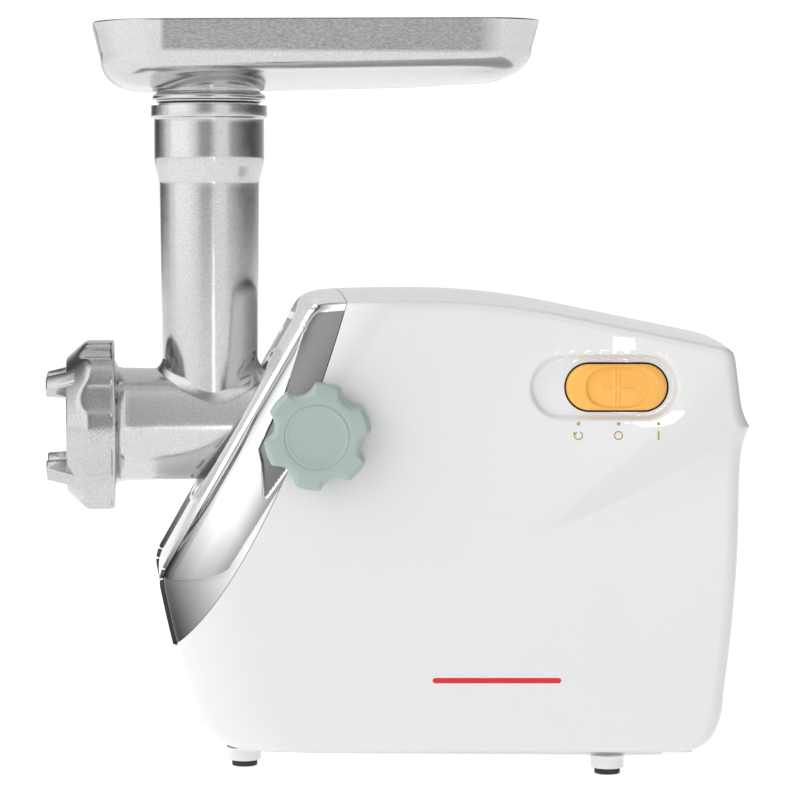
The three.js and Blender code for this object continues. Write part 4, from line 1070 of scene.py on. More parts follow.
@dataclass
class Housing:
    """White shell with its base, feet, rear grille and cord gland."""

    form: HousingForm = FORM
    shoulder: Shoulder = Shoulder()
    seam: float = 0.3
    dish_at: tuple[float, float] = (185.5, 189.4)
    dish_size: tuple[float, float] = (71.0, 31.5)
    dish_depth: float = 2.4
    window_at: tuple[float, float] = (191.3, 189.4)
    window_size: tuple[float, float] = (50.2, 24.0)
    knob_at: tuple[float, float] = (49.2, AXIS_Z)
    bush_radius: float = 6.7
    grille: tuple[float, float, float] = (36.0, 56.0, 112.0)
    gland_at: tuple[float, float] = (34.0, 34.0)
    foot_places: tuple[tuple[float, float], ...] = ((15, -30), (15, 30), (190, -68), (190, 68))

    def edges(self) -> tuple[Array, Array, Array, Array, Array, Array]:
        """The side patch's four edges.

        Returns:
            Left, right, low and high edges, and the shares across and up.
        """
        f = self.form
        front = f.front.places
        low = front[front[:, 1] < f.band_tip[1] - self.seam]
        tip_z = f.band_tip[1] - self.seam
        tip = np.array([[np.interp(tip_z, front[:, 1], front[:, 0]), tip_z]])
        low = Line(*low[0]).at(np.array([0.0])) if len(low) == 1 else low
        band = f.band.places + np.array([self.seam, 0.0])
        band[-1, 1] = np.interp(band[-1, 0], *f.top.places.T)
        lower, upper = Line(*low[0]), Line(*tip[0])
        for point in (*low[1:], *tip):
            lower.to(*point)
        for point in band[1:]:
            upper.to(*point)
        split = 0.26
        v = np.concatenate([
            split * spaced(f.bottom_z, f.band_tip[1], [], 1.3),
            split + (1 - split) * spaced(f.band_tip[1], 230, [(163, 206, 0.6), (222, 230, 0.5)], 1.3)[1:],
        ])
        low_part, high_part = v <= split + 1e-9, v > split + 1e-9
        left = np.concatenate([lower.at(v[low_part] / split), upper.at((v[high_part] - split) / (1 - split))])
        top = f.top.places
        start = left[-1]
        top = np.concatenate([[start], top[top[:, 0] > start[0] + 0.5]])
        roof = Line(*top[0])
        for point in top[1:]:
            roof.to(*point)
        u = spaced(0, 240, [(0, 12, 0.7), (134, 206, 0.6), (228, 240, 0.45)], 1.3)
        right = f.rear.at(v)
        ground = Line(f.low_front_x, f.bottom_z).to(f.rear_foot_x, f.bottom_z)
        return left, right, ground.at(u), roof.at(u), u, v

    def pressed(self, x: Array, z: Array) -> Array:
        """Depth of the finger dish round the switch.

        Args:
            x: Places along the housing.
            z: Heights.

        Returns:
            Distances inwards.
        """
        gap = stadium_gap(x - self.dish_at[0], z - self.dish_at[1], *self.dish_size)
        return self.dish_depth * ease(0.2, -1.9, gap)

    def shell(self) -> bpy.types.Object:
        """The moulded shell with every hole in it."""
        f = self.form
        left, right, low, high, u, v = self.edges()
        flat = coons(left, right, low, high, u, v)
        x, z = flat[..., 0], flat[..., 1]
        half = f.width(x, z)
        inside = ease(0, 14, np.interp(z, f.rear.places[:, 1], f.rear.places[:, 0]) - x)
        rise = self.shoulder.rise(x, z) * inside
        skin = Skin()
        for sign in (-1, 1):
            y = half + rise - (self.pressed(x, z) if sign < 0 else 0)
            skin.grid(np.stack([x, sign * y, z], -1))
        steps = np.linspace(0, 1, len(v))
        rear_top = np.concatenate([right, high[::-1][1:]])
        crown = np.concatenate([f.top_crown * steps, np.full(len(u) - 1, f.top_crown)])
        skin.grid(f.across(rear_top, crown, 72))
        nose = left[v <= 0.26 + 1e-9][::-1]
        skin.grid(f.across(nose, np.full(len(nose), f.front_crown), 48))
        shell = thicken(skin.thing("housing_shell"), f.wall)
        return combine(shell, [self.openings()], Join.CUT)

    def openings(self) -> bpy.types.Object:
        """One tool that cuts the switch window, the bush hole, the gland hole and the grille's frame."""
        f = self.form
        half, low, high = self.grille
        tools = [
            slab("tool_window", f.side_frame(*self.window_at), stadium(*self.window_size), -12, 4),
            lathe("tool_bush", f.side_frame(*self.knob_at), rod(self.bush_radius, -9, 5), 48),
            lathe("tool_gland", along_x(0, *self.gland_at), [(0, 230), (6.8, 230), (6.8, 262), (0, 262)], 48),
        ]
        box = block((-half - 0.3, low - 0.3), (half + 0.3, high + 0.3))
        rear = Frame((0, 0, 0), (0, 1, 0), (0, 0, 1), (1, 0, 0))
        tools.append(slab("tool_grille", rear, rounded(box, 5), 236, 270))
        return merged(tools)

    def grille_panel(self) -> bpy.types.Object:
        """The slotted panel in the rear wall."""
        f = self.form
        half, low, high = self.grille
        levels = np.linspace(low - 4, high + 4, 60)
        edge = np.column_stack([np.interp(levels, f.rear.places[:, 1], f.rear.places[:, 0]), levels])
        crown = f.top_crown * (levels - f.bottom_z) / (f.top_rear[1] - f.bottom_z)
        skin = thicken(Skin().grid(f.across(edge, crown, 64)).thing("rear_vents"), f.wall)
        box = np.array([[-half, low], [half, low], [half, high], [-half, high]])
        keep = slab("tool_panel", along_x(0, 0, 0), rounded(box, 4.7), 230, 275)
        combine(skin, [keep], Join.KEEP)
        pitch = (high - low) / 8
        slots = [
            slab(f"tool_slot_{n}", along_x(0, 0, low + (n + 1) * pitch), stadium(2 * half - 12, 3.4, 8), 230,
                 275)
            for n in range(7)
        ]
        return combine(skin, [merged(slots)], Join.CUT)

    def base(self) -> bpy.types.Object:
        """The base plate that closes the shell, with its four foot stands."""
        f = self.form
        front, rear = float(f.side(np.float64(20))) - 21, float(f.side(np.float64(218))) - 9
        corners = np.array([[20, -front], [44, -front - 9], [218, -rear], [218, rear], [44, front + 9],
                            [20, front]])
        sheet = slab("base_cover", along_z(), rounded(corners, 10), 9.2, 12.7, 0.8)
        x = np.linspace(f.low_front_x + 4, f.rear_foot_x - 1, 90)
        half = f.width(x, np.full(x.shape, 16.0)) - f.wall - 0.3
        outline = np.concatenate([np.column_stack([x, -half]), np.column_stack([x, half])[::-1]])
        plug = slab("tool_plug", along_z(), outline, 12.2, 16)
        stands = [
            lathe(f"tool_stand_{n}", along_z(px, py),
                  softened([(0, 3), (8.2, 3), (8.2, 7.5), (9.4, 9.6), (0, 9.6)], 0.7), 64)
            for n, (px, py) in enumerate(self.foot_places)
        ]
        return combine(sheet, [plug, *stands], Join.ADD)

    def pad(self, name: str, place: tuple[float, float]) -> bpy.types.Object:
        """One rubber foot pad.

        Args:
            name: Name of the piece.
            place: Its axis (x, y).

        Returns:
            The pad.
        """
        profile = [(0, 0), (4.6, 0), (4.6, 0.5), (5.2, 0.5), (5.2, 0), (6.2, 0), (6.3, 2.6), (3, 2.7),
                   (3, 6.8), (0, 6.8)]
        return lathe(name, along_z(*place), softened(profile, 0.35, 3), 64)

    def gland(self) -> bpy.types.Object:
        """The rubber sleeve that the cord would leave through."""
        profile = [(3.6, 238), (6.5, 238), (6.5, 247.2), (9.5, 247.2), (9.5, 248.6), (8.6, 249.2), (8.9, 250),
                   (8.2, 250.6), (8.0, 252.4), (4.4, 252.4), (3.6, 251), (3.6, 238)]
        return lathe("cord_sleeve", along_x(0, *self.gland_at), softened(profile, 0.5, 3), 64)

    def build(self, shop: Workshop) -> None:
        """Builds and fits every piece of the housing."""
        shop.fit(self.shell(), "housing", "white_plastic", ["main_housing"], angle=28)
        shop.fit(self.grille_panel(), "housing", "white_plastic", ["rear_grille"])
        shop.fit(self.base(), "housing", "white_plastic", ["base_plate"])
        names = ("front_near", "front_far", "rear_near", "rear_far")
        for name, place in zip(names, self.foot_places):
            shop.fit(self.pad(f"foot_{name}", place), "housing", "black_rubber", [f"foot_pad_{name}"])
        shop.fit(self.gland(), "housing", "black_rubber", ["cord_gland"])


def rounded(corners: Array, radius: float) -> Array:
    """Rounds the corners of a closed outline.

    Args:
        corners: Points of the outline.
        radius: Length cut off each side of a corner.

    Returns:
        The rounded outline.
    """
    loop = [tuple(p) for p in corners]
    return np.array(softened([*loop, loop[0]], radius, 8)[:-1])


def merged(things: Sequence[bpy.types.Object]) -> bpy.types.Object:
    """Puts solids that don't touch into one object."""
    soup = bmesh.new()
    for thing in things:
        soup.from_mesh(thing.data)
    mesh = bpy.data.meshes.new(things[0].name)
    soup.to_mesh(mesh)
    soup.free()
    whole = bpy.data.objects.new(mesh.name, mesh)
    bpy.context.scene.collection.objects.link(whole)
    for thing in things:
        bpy.data.objects.remove(thing)
    return whole


@dataclass
class FrontPanel:
    """White fascia between the corner trims, with its raised ring round the barrel."""

    form: HousingForm = FORM
    bore: float = 31.2
    ring: float = 38.0
    ring_height: float = 2.2
    slots: int = 10

    def edge(self, count: int = 260) -> Array:
        """The fascia's line in the side view, from the band's tip over the brow to its top.

        Args:
            count: Number of points.

        Returns:
            Points (x, z).
        """
        f = self.form
        front, top = f.front.places, f.top.places
        up = front[front[:, 1] > f.band_tip[1]]
        back = top[(top[:, 0] > front[-1, 0] + 0.2) & (top[:, 0] < f.band_top_x - 0.2)]
        line = Line(float(np.interp(f.band_tip[1], front[:, 1], front[:, 0])), f.band_tip[1])
        for point in (*up, *back):
            line.to(*point)
        line.to(f.band_top_x, float(np.interp(f.band_top_x, top[:, 0], top[:, 1])))
        return line.at(np.linspace(0, 1, count))

    def panel(self) -> bpy.types.Object:
        """The panel with its ring and its bore."""
        f = self.form
        edge = self.edge()[::-1]
        half = f.side(edge[:, 0]) - f.corner_width - 0.15
        strip = f.across(edge, f.front_rise(edge[:, 1]), 64, half)
        skin = thicken(Skin().grid(strip).thing("front_panel"), f.wall)
        lower, upper = np.array(f.chin) + (3, 5.4), np.array(f.brow)
        up = (upper - lower) / np.linalg.norm(upper - lower)
        out = np.array([-up[1], up[0]])
        height = f.front_crown + self.ring_height
        plane = Frame((lower[0], 0, lower[1]), (up[0], 0, up[1]), (0, 1, 0), (out[0], 0, out[1]))
        layer = slab("tool_layer", plane, block((0, -60), (140, 60)), -f.wall, height)
        tube = [(self.bore, -60), (self.ring, -60), (self.ring, 80), (self.bore, 80), (self.bore, -60)]
        ring = lathe("tool_ring", along_x(), tube, 128)
        combine(ring, [layer], Join.KEEP)
        eased_edges(ring, 0.7)
        combine(skin, [ring], Join.ADD)
        bore = lathe("tool_bore", along_x(), [(0, -60), (self.bore, -60), (self.bore, 80), (0, 80)], 128)
        cuts = []
        for n in range(self.slots):
            angle = (n + 0.5) * TURN / self.slots
            middle = (self.bore + self.ring) / 2
            along = (-math.sin(angle), math.cos(angle))
            frame = Frame(
                (0, middle * math.cos(angle), AXIS_Z + middle * math.sin(angle)),
                (0, *along), (0, math.cos(angle), math.sin(angle)), (-1, 0, 0),
            )
            cuts.append(slab(f"tool_notch_{n}", frame, stadium(11, 2.6, 8), -60, 60))
        slots = merged(cuts)
        top = slab("tool_skim", plane, block((-20, -60), (160, 60)), height - 1.4, height + 9)
        combine(slots, [top], Join.KEEP)
        return combine(skin, [bore, slots], Join.CUT)

    def build(self, shop: Workshop) -> None:
        """Builds and fits the fascia."""
        shop.fit(self.panel(), "housing", "white_plastic", ["front_fascia"])


@dataclass
class CornerTrim:
    """Mirror trim that wraps one front corner, with a flat pocket in its upper half."""

    side: int
    name: str
    covers: str
    form: HousingForm = FORM
    pocket: tuple[tuple[float, float], ...] = (
        (70.0, 227.6), (50.0, 225.4), (44.5, 221.0), (33.2, 186.0), (20.7, 159.3),
        (22.2, 152.6), (23.0, 136.4), (24.4, 136.2), (62.0, 188.2),
    )
    pocket_depth: float = 1.1
    head_slope: float = 7.5

    def inside_pocket(self, x: Array, z: Array, line: Table) -> Array:
        """Signed distance to a run of the pocket's edge.

        Args:
            x: Places along the housing.
            z: Heights.
            line: Points of the run.

        Returns:
            Distances, positive inside the pocket.
        """
        table = np.array(line)
        best = np.full(x.shape, 1e9)
        sign = np.ones(x.shape)
        for a, b in zip(table, table[1:]):
            run = b - a
            t = np.clip(((x - a[0]) * run[0] + (z - a[1]) * run[1]) / (run @ run), 0, 1)
            away = np.hypot(x - a[0] - t * run[0], z - a[1] - t * run[1])
            cross = run[0] * (z - a[1]) - run[1] * (x - a[0])
            nearer = away < best - 1e-6
            sign = np.where(nearer, np.sign(cross), sign)
            best = np.where(nearer, away, best)
        return best * sign

    def pocket_press(self, x: Array, z: Array) -> Array:
        """Depth of the pocket, whose head slopes in more gently than its front.

        Args:
            x: Places along the housing.
            z: Heights.

        Returns:
            Distances inwards.
        """
        whole = self.inside_pocket(x, z, self.pocket)
        head = self.inside_pocket(x, z, self.pocket[:3])
        return self.pocket_depth * np.minimum(ease(-0.2, 0.9, whole), ease(-0.2, self.head_slope, head))

    def skin(self) -> bpy.types.Object:
        """The trim as a thin formed cover."""
        f = self.form
        along = spaced(0, 200, [(0, 8, 0.4)], 0.55)
        front = FrontPanel(f).edge(600)
        line = Line(*front[0])
        for point in front[1:]:
            line.to(*point)
        left = line.at(along)
        right = f.band.at(along)
        right[:, 1] = np.minimum(right[:, 1], np.interp(right[:, 0], *f.top.places.T))
        share = np.linspace(0, 1, 90) ** 1.5
        flat = left[:, None] * (1 - share)[None, :, None] + right[:, None] * share[None, :, None]
        x, z = flat[..., 0], flat[..., 1]
        y = f.width(x, z) - self.pocket_press(x, z)
        inner = f.side(left[:, 0]) - f.corner_width + 0.15
        over = inner[:, None] + (np.maximum(inner, y[:, 0]) - inner)[:, None] * np.linspace(0, 1, 14)[None,
                                                                                                      :-1]
        roof = f.raised(left[::-1], f.front_rise(left[::-1, 1]), over[::-1])[::-1]
        side = np.stack([x, y, z], -1)
        grid = np.concatenate([roof, side], axis=1) * np.array([1, self.side, 1])
        cover = thicken(Skin().grid(grid).thing(self.name), 1.6)
        hole = lathe("tool_hole", f.side_frame(49.2, AXIS_Z), rod(6.7, -9, 5), 48)
        if self.side < 0:
            return combine(cover, [hole], Join.CUT)
        bpy.data.objects.remove(hole)
        return cover

    def build(self, shop: Workshop) -> None:
        """Builds and fits the trim."""
        trim = shop.fit(self.skin(), "housing", "chrome_trim", [self.covers], angle=50)
        # Faces well inside the pocket take the dark satin: the floor's own finish, and painted shade on the
        # sloped head.
        trim.data.materials.append(shop.satin_and_shade)
        for face in trim.data.polygons:
            x, _, z = face.center / MILLI
            if face.normal.y * self.side > 0.5:
                deep = self.inside_pocket(np.array([x + MIDDLE_X]), np.array([z]), self.pocket)[0]
                face.material_index = int(deep > 0.5)


# ---- switch and clamp --------------------------------------------------------------------------


@dataclass
class SwitchRocker:
    """Three-position rocker with a finger dish and crossed ribs."""

    form: HousingForm = FORM
    at: tuple[float, float] = (191.3, 189.4)
    length: float = 48.6
    height: float = 22.2
    crest: float = 1.6
    foot: float = -3.4
    edge: float = 2.8
    dish: tuple[float, float] = (15.8, 10.3)
    dish_shift: float = 0.8
    dish_depth: float = 1.5

    def surface(self, x: Array, z: Array) -> Array:
        """Height of the rocker's face.

        Args:
            x: Places along the rocker from its middle.
            z: Places across it.

        Returns:
            Heights above the housing's side.
        """
        level = self.crest - 2.0 * np.abs(x / (self.length / 2)) ** 2.6
        across, up = np.abs((x - self.dish_shift) / self.dish[0]), np.abs(z / self.dish[1])
        oval = (across**2.5 + up**2.5) ** 0.4
        level = level - self.dish_depth * ease(1.0, 0.93, oval) * (0.55 + 0.45 * np.clip(oval, 0, 1))
        arc = (np.abs((x - 4.2) / self.dish[0]) ** 2.5 + up**2.5) ** 0.4
        level = level + 0.2 * np.exp(-(((arc - 1.0) / 0.03) ** 2)) * ease(9, 13, x)
        rib = np.exp(-(((np.abs(x) - 0.9) / 0.42) ** 2)) * ease(1.0, 0.94, oval)
        bar = np.exp(-(((np.abs(z) - 0.8) / 0.38) ** 2)) * ease(8.6, 8.0, np.abs(x - 0.6))
        level = level + 0.5 * np.maximum(rib, bar * (np.abs(x) > 0.9))
        dot = np.hypot(x - 15.0, z)
        return level + 0.4 * np.sqrt(np.clip(1 - (dot / 0.85) ** 2, 0, 1))

    def cap(self) -> bpy.types.Object:
        """The rocker itself with the block that carries its pivot."""
        turn = np.linspace(0, math.pi, 150)
        outer = -np.cos(turn) * self.length / 2
        radius = self.height / 2
        beyond = np.maximum(np.abs(outer) - (self.length / 2 - radius), 0)
        half = np.sqrt(np.maximum(radius**2 - beyond**2, 1e-6))
        share = np.sin(np.linspace(-1, 1, 84) * math.pi / 2)
        x = np.repeat(outer[:, None], len(share), 1)
        z = half[:, None] * share[None]
        inside = -stadium_gap(x, z, self.length, self.height)
        level = self.surface(x, z) - self.edge * rounding(inside / self.edge)
        frame = self.form.side_frame(*self.at)
        top = frame.place(np.stack([x, z, level], -1))
        rim = np.concatenate([top[:, 0], top[-1, 1:], top[::-1, -1][1:], top[0, ::-1][1:-1]])
        base = np.concatenate([np.stack([x, z], -1)[:, 0], np.stack([x, z], -1)[-1, 1:],
                               np.stack([x, z], -1)[::-1, -1][1:], np.stack([x, z], -1)[0, ::-1][1:-1]])
        floor = frame.place(np.column_stack([base, np.full(len(base), self.foot)]))
        cap = Skin().grid(top).grid(np.stack([rim, floor]), close_v=True).cap(floor).thing("rocker_cap")
        box = np.array([[-9, -7], [9, -7], [9, 7], [-9, 7]], float)
        stem = slab("tool_stem", frame, rounded(box, 2), -9, -3)
        return combine(cap, [stem], Join.ADD)

    def gap_shade_cup(self) -> bpy.types.Object:
        """Black cup behind the gap round the rocker, a dark sheet that paints the gap's shade."""
        frame = self.form.side_frame(*self.at)
        outer = slab("painted_gap_shade", frame, stadium(53.4, 27.2), -10.2, -5.4)
        inner = slab("tool_inner", frame, stadium(50.6, 24.4), -9.4, -4)
        hole = slab("tool_pass", frame, rounded(block((-10, -8), (10, 8)), 2), -12, -8)
        return combine(outer, [inner, hole], Join.CUT)

    def lip(self) -> bpy.types.Object:
        """Thin raised edge round the window."""
        frame = self.form.side_frame(*self.at)
        outer = slab("window_lip", frame, stadium(52.6, 26.4), -3.6, -2.12, 0.3)
        inner = slab("tool_inner", frame, stadium(50.3, 24.1), -6, 4)
        return combine(outer, [inner], Join.CUT)

    def build(self, shop: Workshop) -> None:
        """Builds and fits the rocker, the black cup that paints the gap's shade, and the window's edge."""
        shop.fit(self.cap(), "rocker", "yellow_plastic", ["switch_rocker"])
        # The black cup behind the gap stands for the shade in it.
        shop.fit(self.gap_shade_cup(), "housing", "black_plastic")
        shop.fit(self.lip(), "housing", "white_plastic")


@dataclass
class ClampKnob:
    """Lobed hand knob on the clamp screw."""

    form: HousingForm = FORM
    at: tuple[float, float] = (49.2, AXIS_Z)
    radius: float = 25.7
    notches: int = 6
    phase: float = -11.0
    notch_radius: float = 8.3
    notch_inset: float = 4.6
    low: float = 5.0
    high: float = 19.0
    dial: float = 15.2

    def outline(self, count: int = 480) -> Array:
        """Radius of the lobed rim at equal angles.

        Args:
            count: Number of angles.

        Returns:
            The radii.
        """
        angle = np.arange(count) * TURN / count
        reach = self.radius + self.notch_radius - self.notch_inset
        radii = np.full(count, self.radius)
        for n in range(self.notches):
            off = angle - math.radians(self.phase + 60 * n)
            off = (off + math.pi) % TURN - math.pi
            side = np.abs(reach * np.sin(off))
            depth = np.sqrt(np.maximum(self.notch_radius**2 - side**2, 0))
            hit = (side < self.notch_radius) & (np.cos(off) > 0)
            radii = np.where(hit, np.minimum(radii, reach * np.cos(off) - depth), radii)
        window = np.hanning(11)
        window /= window.sum()
        padded = np.concatenate([radii[-5:], radii, radii[:5]])
        return np.convolve(padded, window, "valid")

    def knob(self) -> bpy.types.Object:
        """The knob with its chamfered rim, its beaded dial and the hollow behind."""
        rim = self.outline()
        slope = np.gradient(np.concatenate([rim[-1:], rim, rim[:1]]))[1:-1] / (TURN / len(rim))
        tilt = np.sqrt(1 + (slope / rim) ** 2)
        layers: list[tuple[Array, float]] = []

        def layer(inset: float, level: float) -> None:
            """Adds a lobed layer."""
            layers.append((rim - inset * tilt, level))

        def circle(radius: float, level: float) -> None:
            """Adds a round layer."""
            layers.append((np.full(len(rim), radius), level))

        circle(8.2, self.high - 4.2)
        circle(8.2, self.low + 0.2)
        circle(8.6, self.low)
        circle(16.6, self.low)
        circle(17.2, self.low)
        for inset, level in ((1.3, 0.0), (0.6, 0.25), (0.15, 0.8), (0.0, 1.5)):
            layer(inset, self.low + level)
        for inset, level in ((0.0, 3.0), (0.12, 2.2), (0.5, 1.5), (1.9, 0.35), (2.3, 0.12), (2.9, 0.0)):
            layer(inset, self.high - level)
        profile = ((16.7, 0.0), (16.1, -0.05), (15.7, -0.28), (15.4, -0.55), (15.1, -0.5), (14.8, -0.22),
                   (14.5, -0.1),
                   (14.1, -0.14), (13.7, -0.4), (13.2, -0.5), (8.0, -0.5), (1.0, -0.5))
        for radius, level in profile:
            circle(radius, self.high + level)
        radii = np.array([r for r, _ in layers])
        levels = np.array([v for _, v in layers])
        loops = rings(self.form.side_frame(*self.at), radii, levels)
        skin = Skin().grid(loops, close_v=True).cap(loops[0]).cap(loops[-1])
        return skin.thing("hand_knob")

    def build(self, shop: Workshop) -> None:
        """Builds and fits the knob."""
        shop.fit(self.knob(), "clamp_knob", "green_plastic", ["clamp_knob"], angle=40)


# ---- grinding head -----------------------------------------------------------------------------


@dataclass
class GrindingHead:
    """Cast barrel with its feed tube."""

    mouth_x: float = -63.0
    thread_radius: float = 33.0
    thread_length: float = 15.0
    front_radius: float = 28.3
    rear_radius: float = 27.0
    collar_x: float = 30.0
    collar_radius: float = 29.0
    end_x: float = 64.0
    bore: float = 23.8
    bore_end: float = 24.0
    tube_bore: float = 21.6
    tube: tuple[tuple[float, float], ...] = (
        (23.7, 200.0), (24.75, 284.0), (24.8, 287.7), (25.4, 290.5), (26.8, 296.0), (27.3, 299.5),
        (27.3, 319.2), (28.8, 319.6), (28.8, 325.4),
    )
    seat_z: float = 303.0
    cup_bore: float = 25.5

    def barrel(self) -> bpy.types.Object:
        """Solid outer form of the barrel, with a screw thread's lines at its mouth."""
        thread: list[tuple[float, float]] = [(0, self.mouth_x), (self.thread_radius - 0.6, self.mouth_x)]
        pitch = 3.0
        for n in range(4):
            x = self.mouth_x + 0.8 + n * pitch
            thread += [(self.thread_radius, x), (self.thread_radius, x + 0.9),
                       (self.thread_radius - 1.1, x + 1.5),
                       (self.thread_radius - 1.1, x + 2.3)]
        end = self.mouth_x + self.thread_length
        rest = [(self.thread_radius, end - 1.0), (self.thread_radius, end),
                (self.front_radius + 0.6, end + 2.4),
                (self.front_radius, end + 5), (self.rear_radius, self.collar_x - 5), (self.rear_radius + 0.4,
                                                                                      self.collar_x - 2),
                (self.collar_radius, self.collar_x), (self.collar_radius,
                                                      self.end_x - 1), (self.collar_radius - 1, self.end_x),
                (0, self.end_x)]
        return lathe("head_body", along_x(), dense(softened([*thread, *rest], 0.6, 3), 2.5), 160)

    def riser(self, count: int = 160) -> bpy.types.Object:
        """Solid outer form of the feed tube, with a fillet that runs onto the barrel."""
        angle = np.arange(count) * TURN / count
        profile = np.array(dense(softened(self.tube, 0.8, 4), 2.5))[::-1]
        table = [np.column_stack([r * np.cos(angle), r * np.sin(angle), np.full(count, z)]) for r,
                 z in profile]
        foot = self.tube[0][0] - 0.2
        reach = 1.6 + 5.4 * np.abs(np.cos(angle)) ** 2
        barrel = lambda radius: AXIS_Z + np.sqrt(np.maximum(27.6**2 - (radius * np.sin(angle)) ** 2, 1.0))
        meet = barrel(foot)
        outer = np.minimum(foot + reach, 27.2 / np.maximum(np.abs(np.sin(angle)), 1e-3))
        start = np.stack([foot + 0 * angle, meet + reach + 1.5], -1)
        knee = np.stack([foot + 0 * angle, meet + 0.0], -1)
        end = np.stack([outer, barrel(outer) - 0.25], -1)
        for share in np.linspace(0, 1, 14):
            spot = (1 - share) ** 2 * start + 2 * share * (1 - share) * knee + share**2 * end
            table.append(np.column_stack([spot[:, 0] * np.cos(angle), spot[:, 0] * np.sin(angle),
                                          spot[:, 1]]))
        low = np.column_stack([20 * np.cos(angle), 12 * np.sin(angle), np.full(count, AXIS_Z)])
        table.append(low)
        loops = np.array(table)
        return Skin().grid(loops, close_v=True).cap(loops[0]).cap(loops[-1]).thing("tool_riser")

    def casting(self) -> bpy.types.Object:
        """Barrel and feed tube in one piece, bored out."""
        head = combine(self.barrel(), [self.riser()], Join.ADD)
        top = self.tube[-1][1]
        throat = [(0, AXIS_Z), (self.tube_bore, AXIS_Z), (self.tube_bore, self.seat_z - 1),
                  (self.tube_bore + 0.6, self.seat_z),
                  (self.cup_bore, self.seat_z), (self.cup_bore, top - 0.8), (self.cup_bore + 0.8, top + 0.1),
                  (self.cup_bore + 0.8, top + 2), (0, top + 2)]
        bore = [(0, self.mouth_x - 1), (self.bore + 1, self.mouth_x - 1), (self.bore + 1, self.mouth_x + 0.2),
                (self.bore, self.mouth_x + 1.2), (self.bore, self.bore_end), (0, self.bore_end)]
        shaft = [(0, self.bore_end - 1), (10.7, self.bore_end - 1), (10.7, self.end_x + 1),
                 (0, self.end_x + 1)]
        relief = [(14.4, self.bore_end + 6), (25.5, self.bore_end + 6), (25.5, self.end_x + 1),
                  (14.4, self.end_x + 1),
                  (14.4, self.bore_end + 6)]
        cuts = [
            lathe("tool_throat", along_z(), dense(throat, 5), 128),
            lathe("tool_bore", along_x(), dense(bore, 5), 128),
            lathe("tool_shaft", along_x(), shaft, 64),
            lathe("tool_relief", along_x(), relief, 96),
        ]
        return combine(head, cuts, Join.CUT)

    def build(self, shop: Workshop) -> None:
        """Builds and fits the casting."""
        shop.fit(self.casting(), "head", "cast_aluminium", ["head_casting"], angle=38)


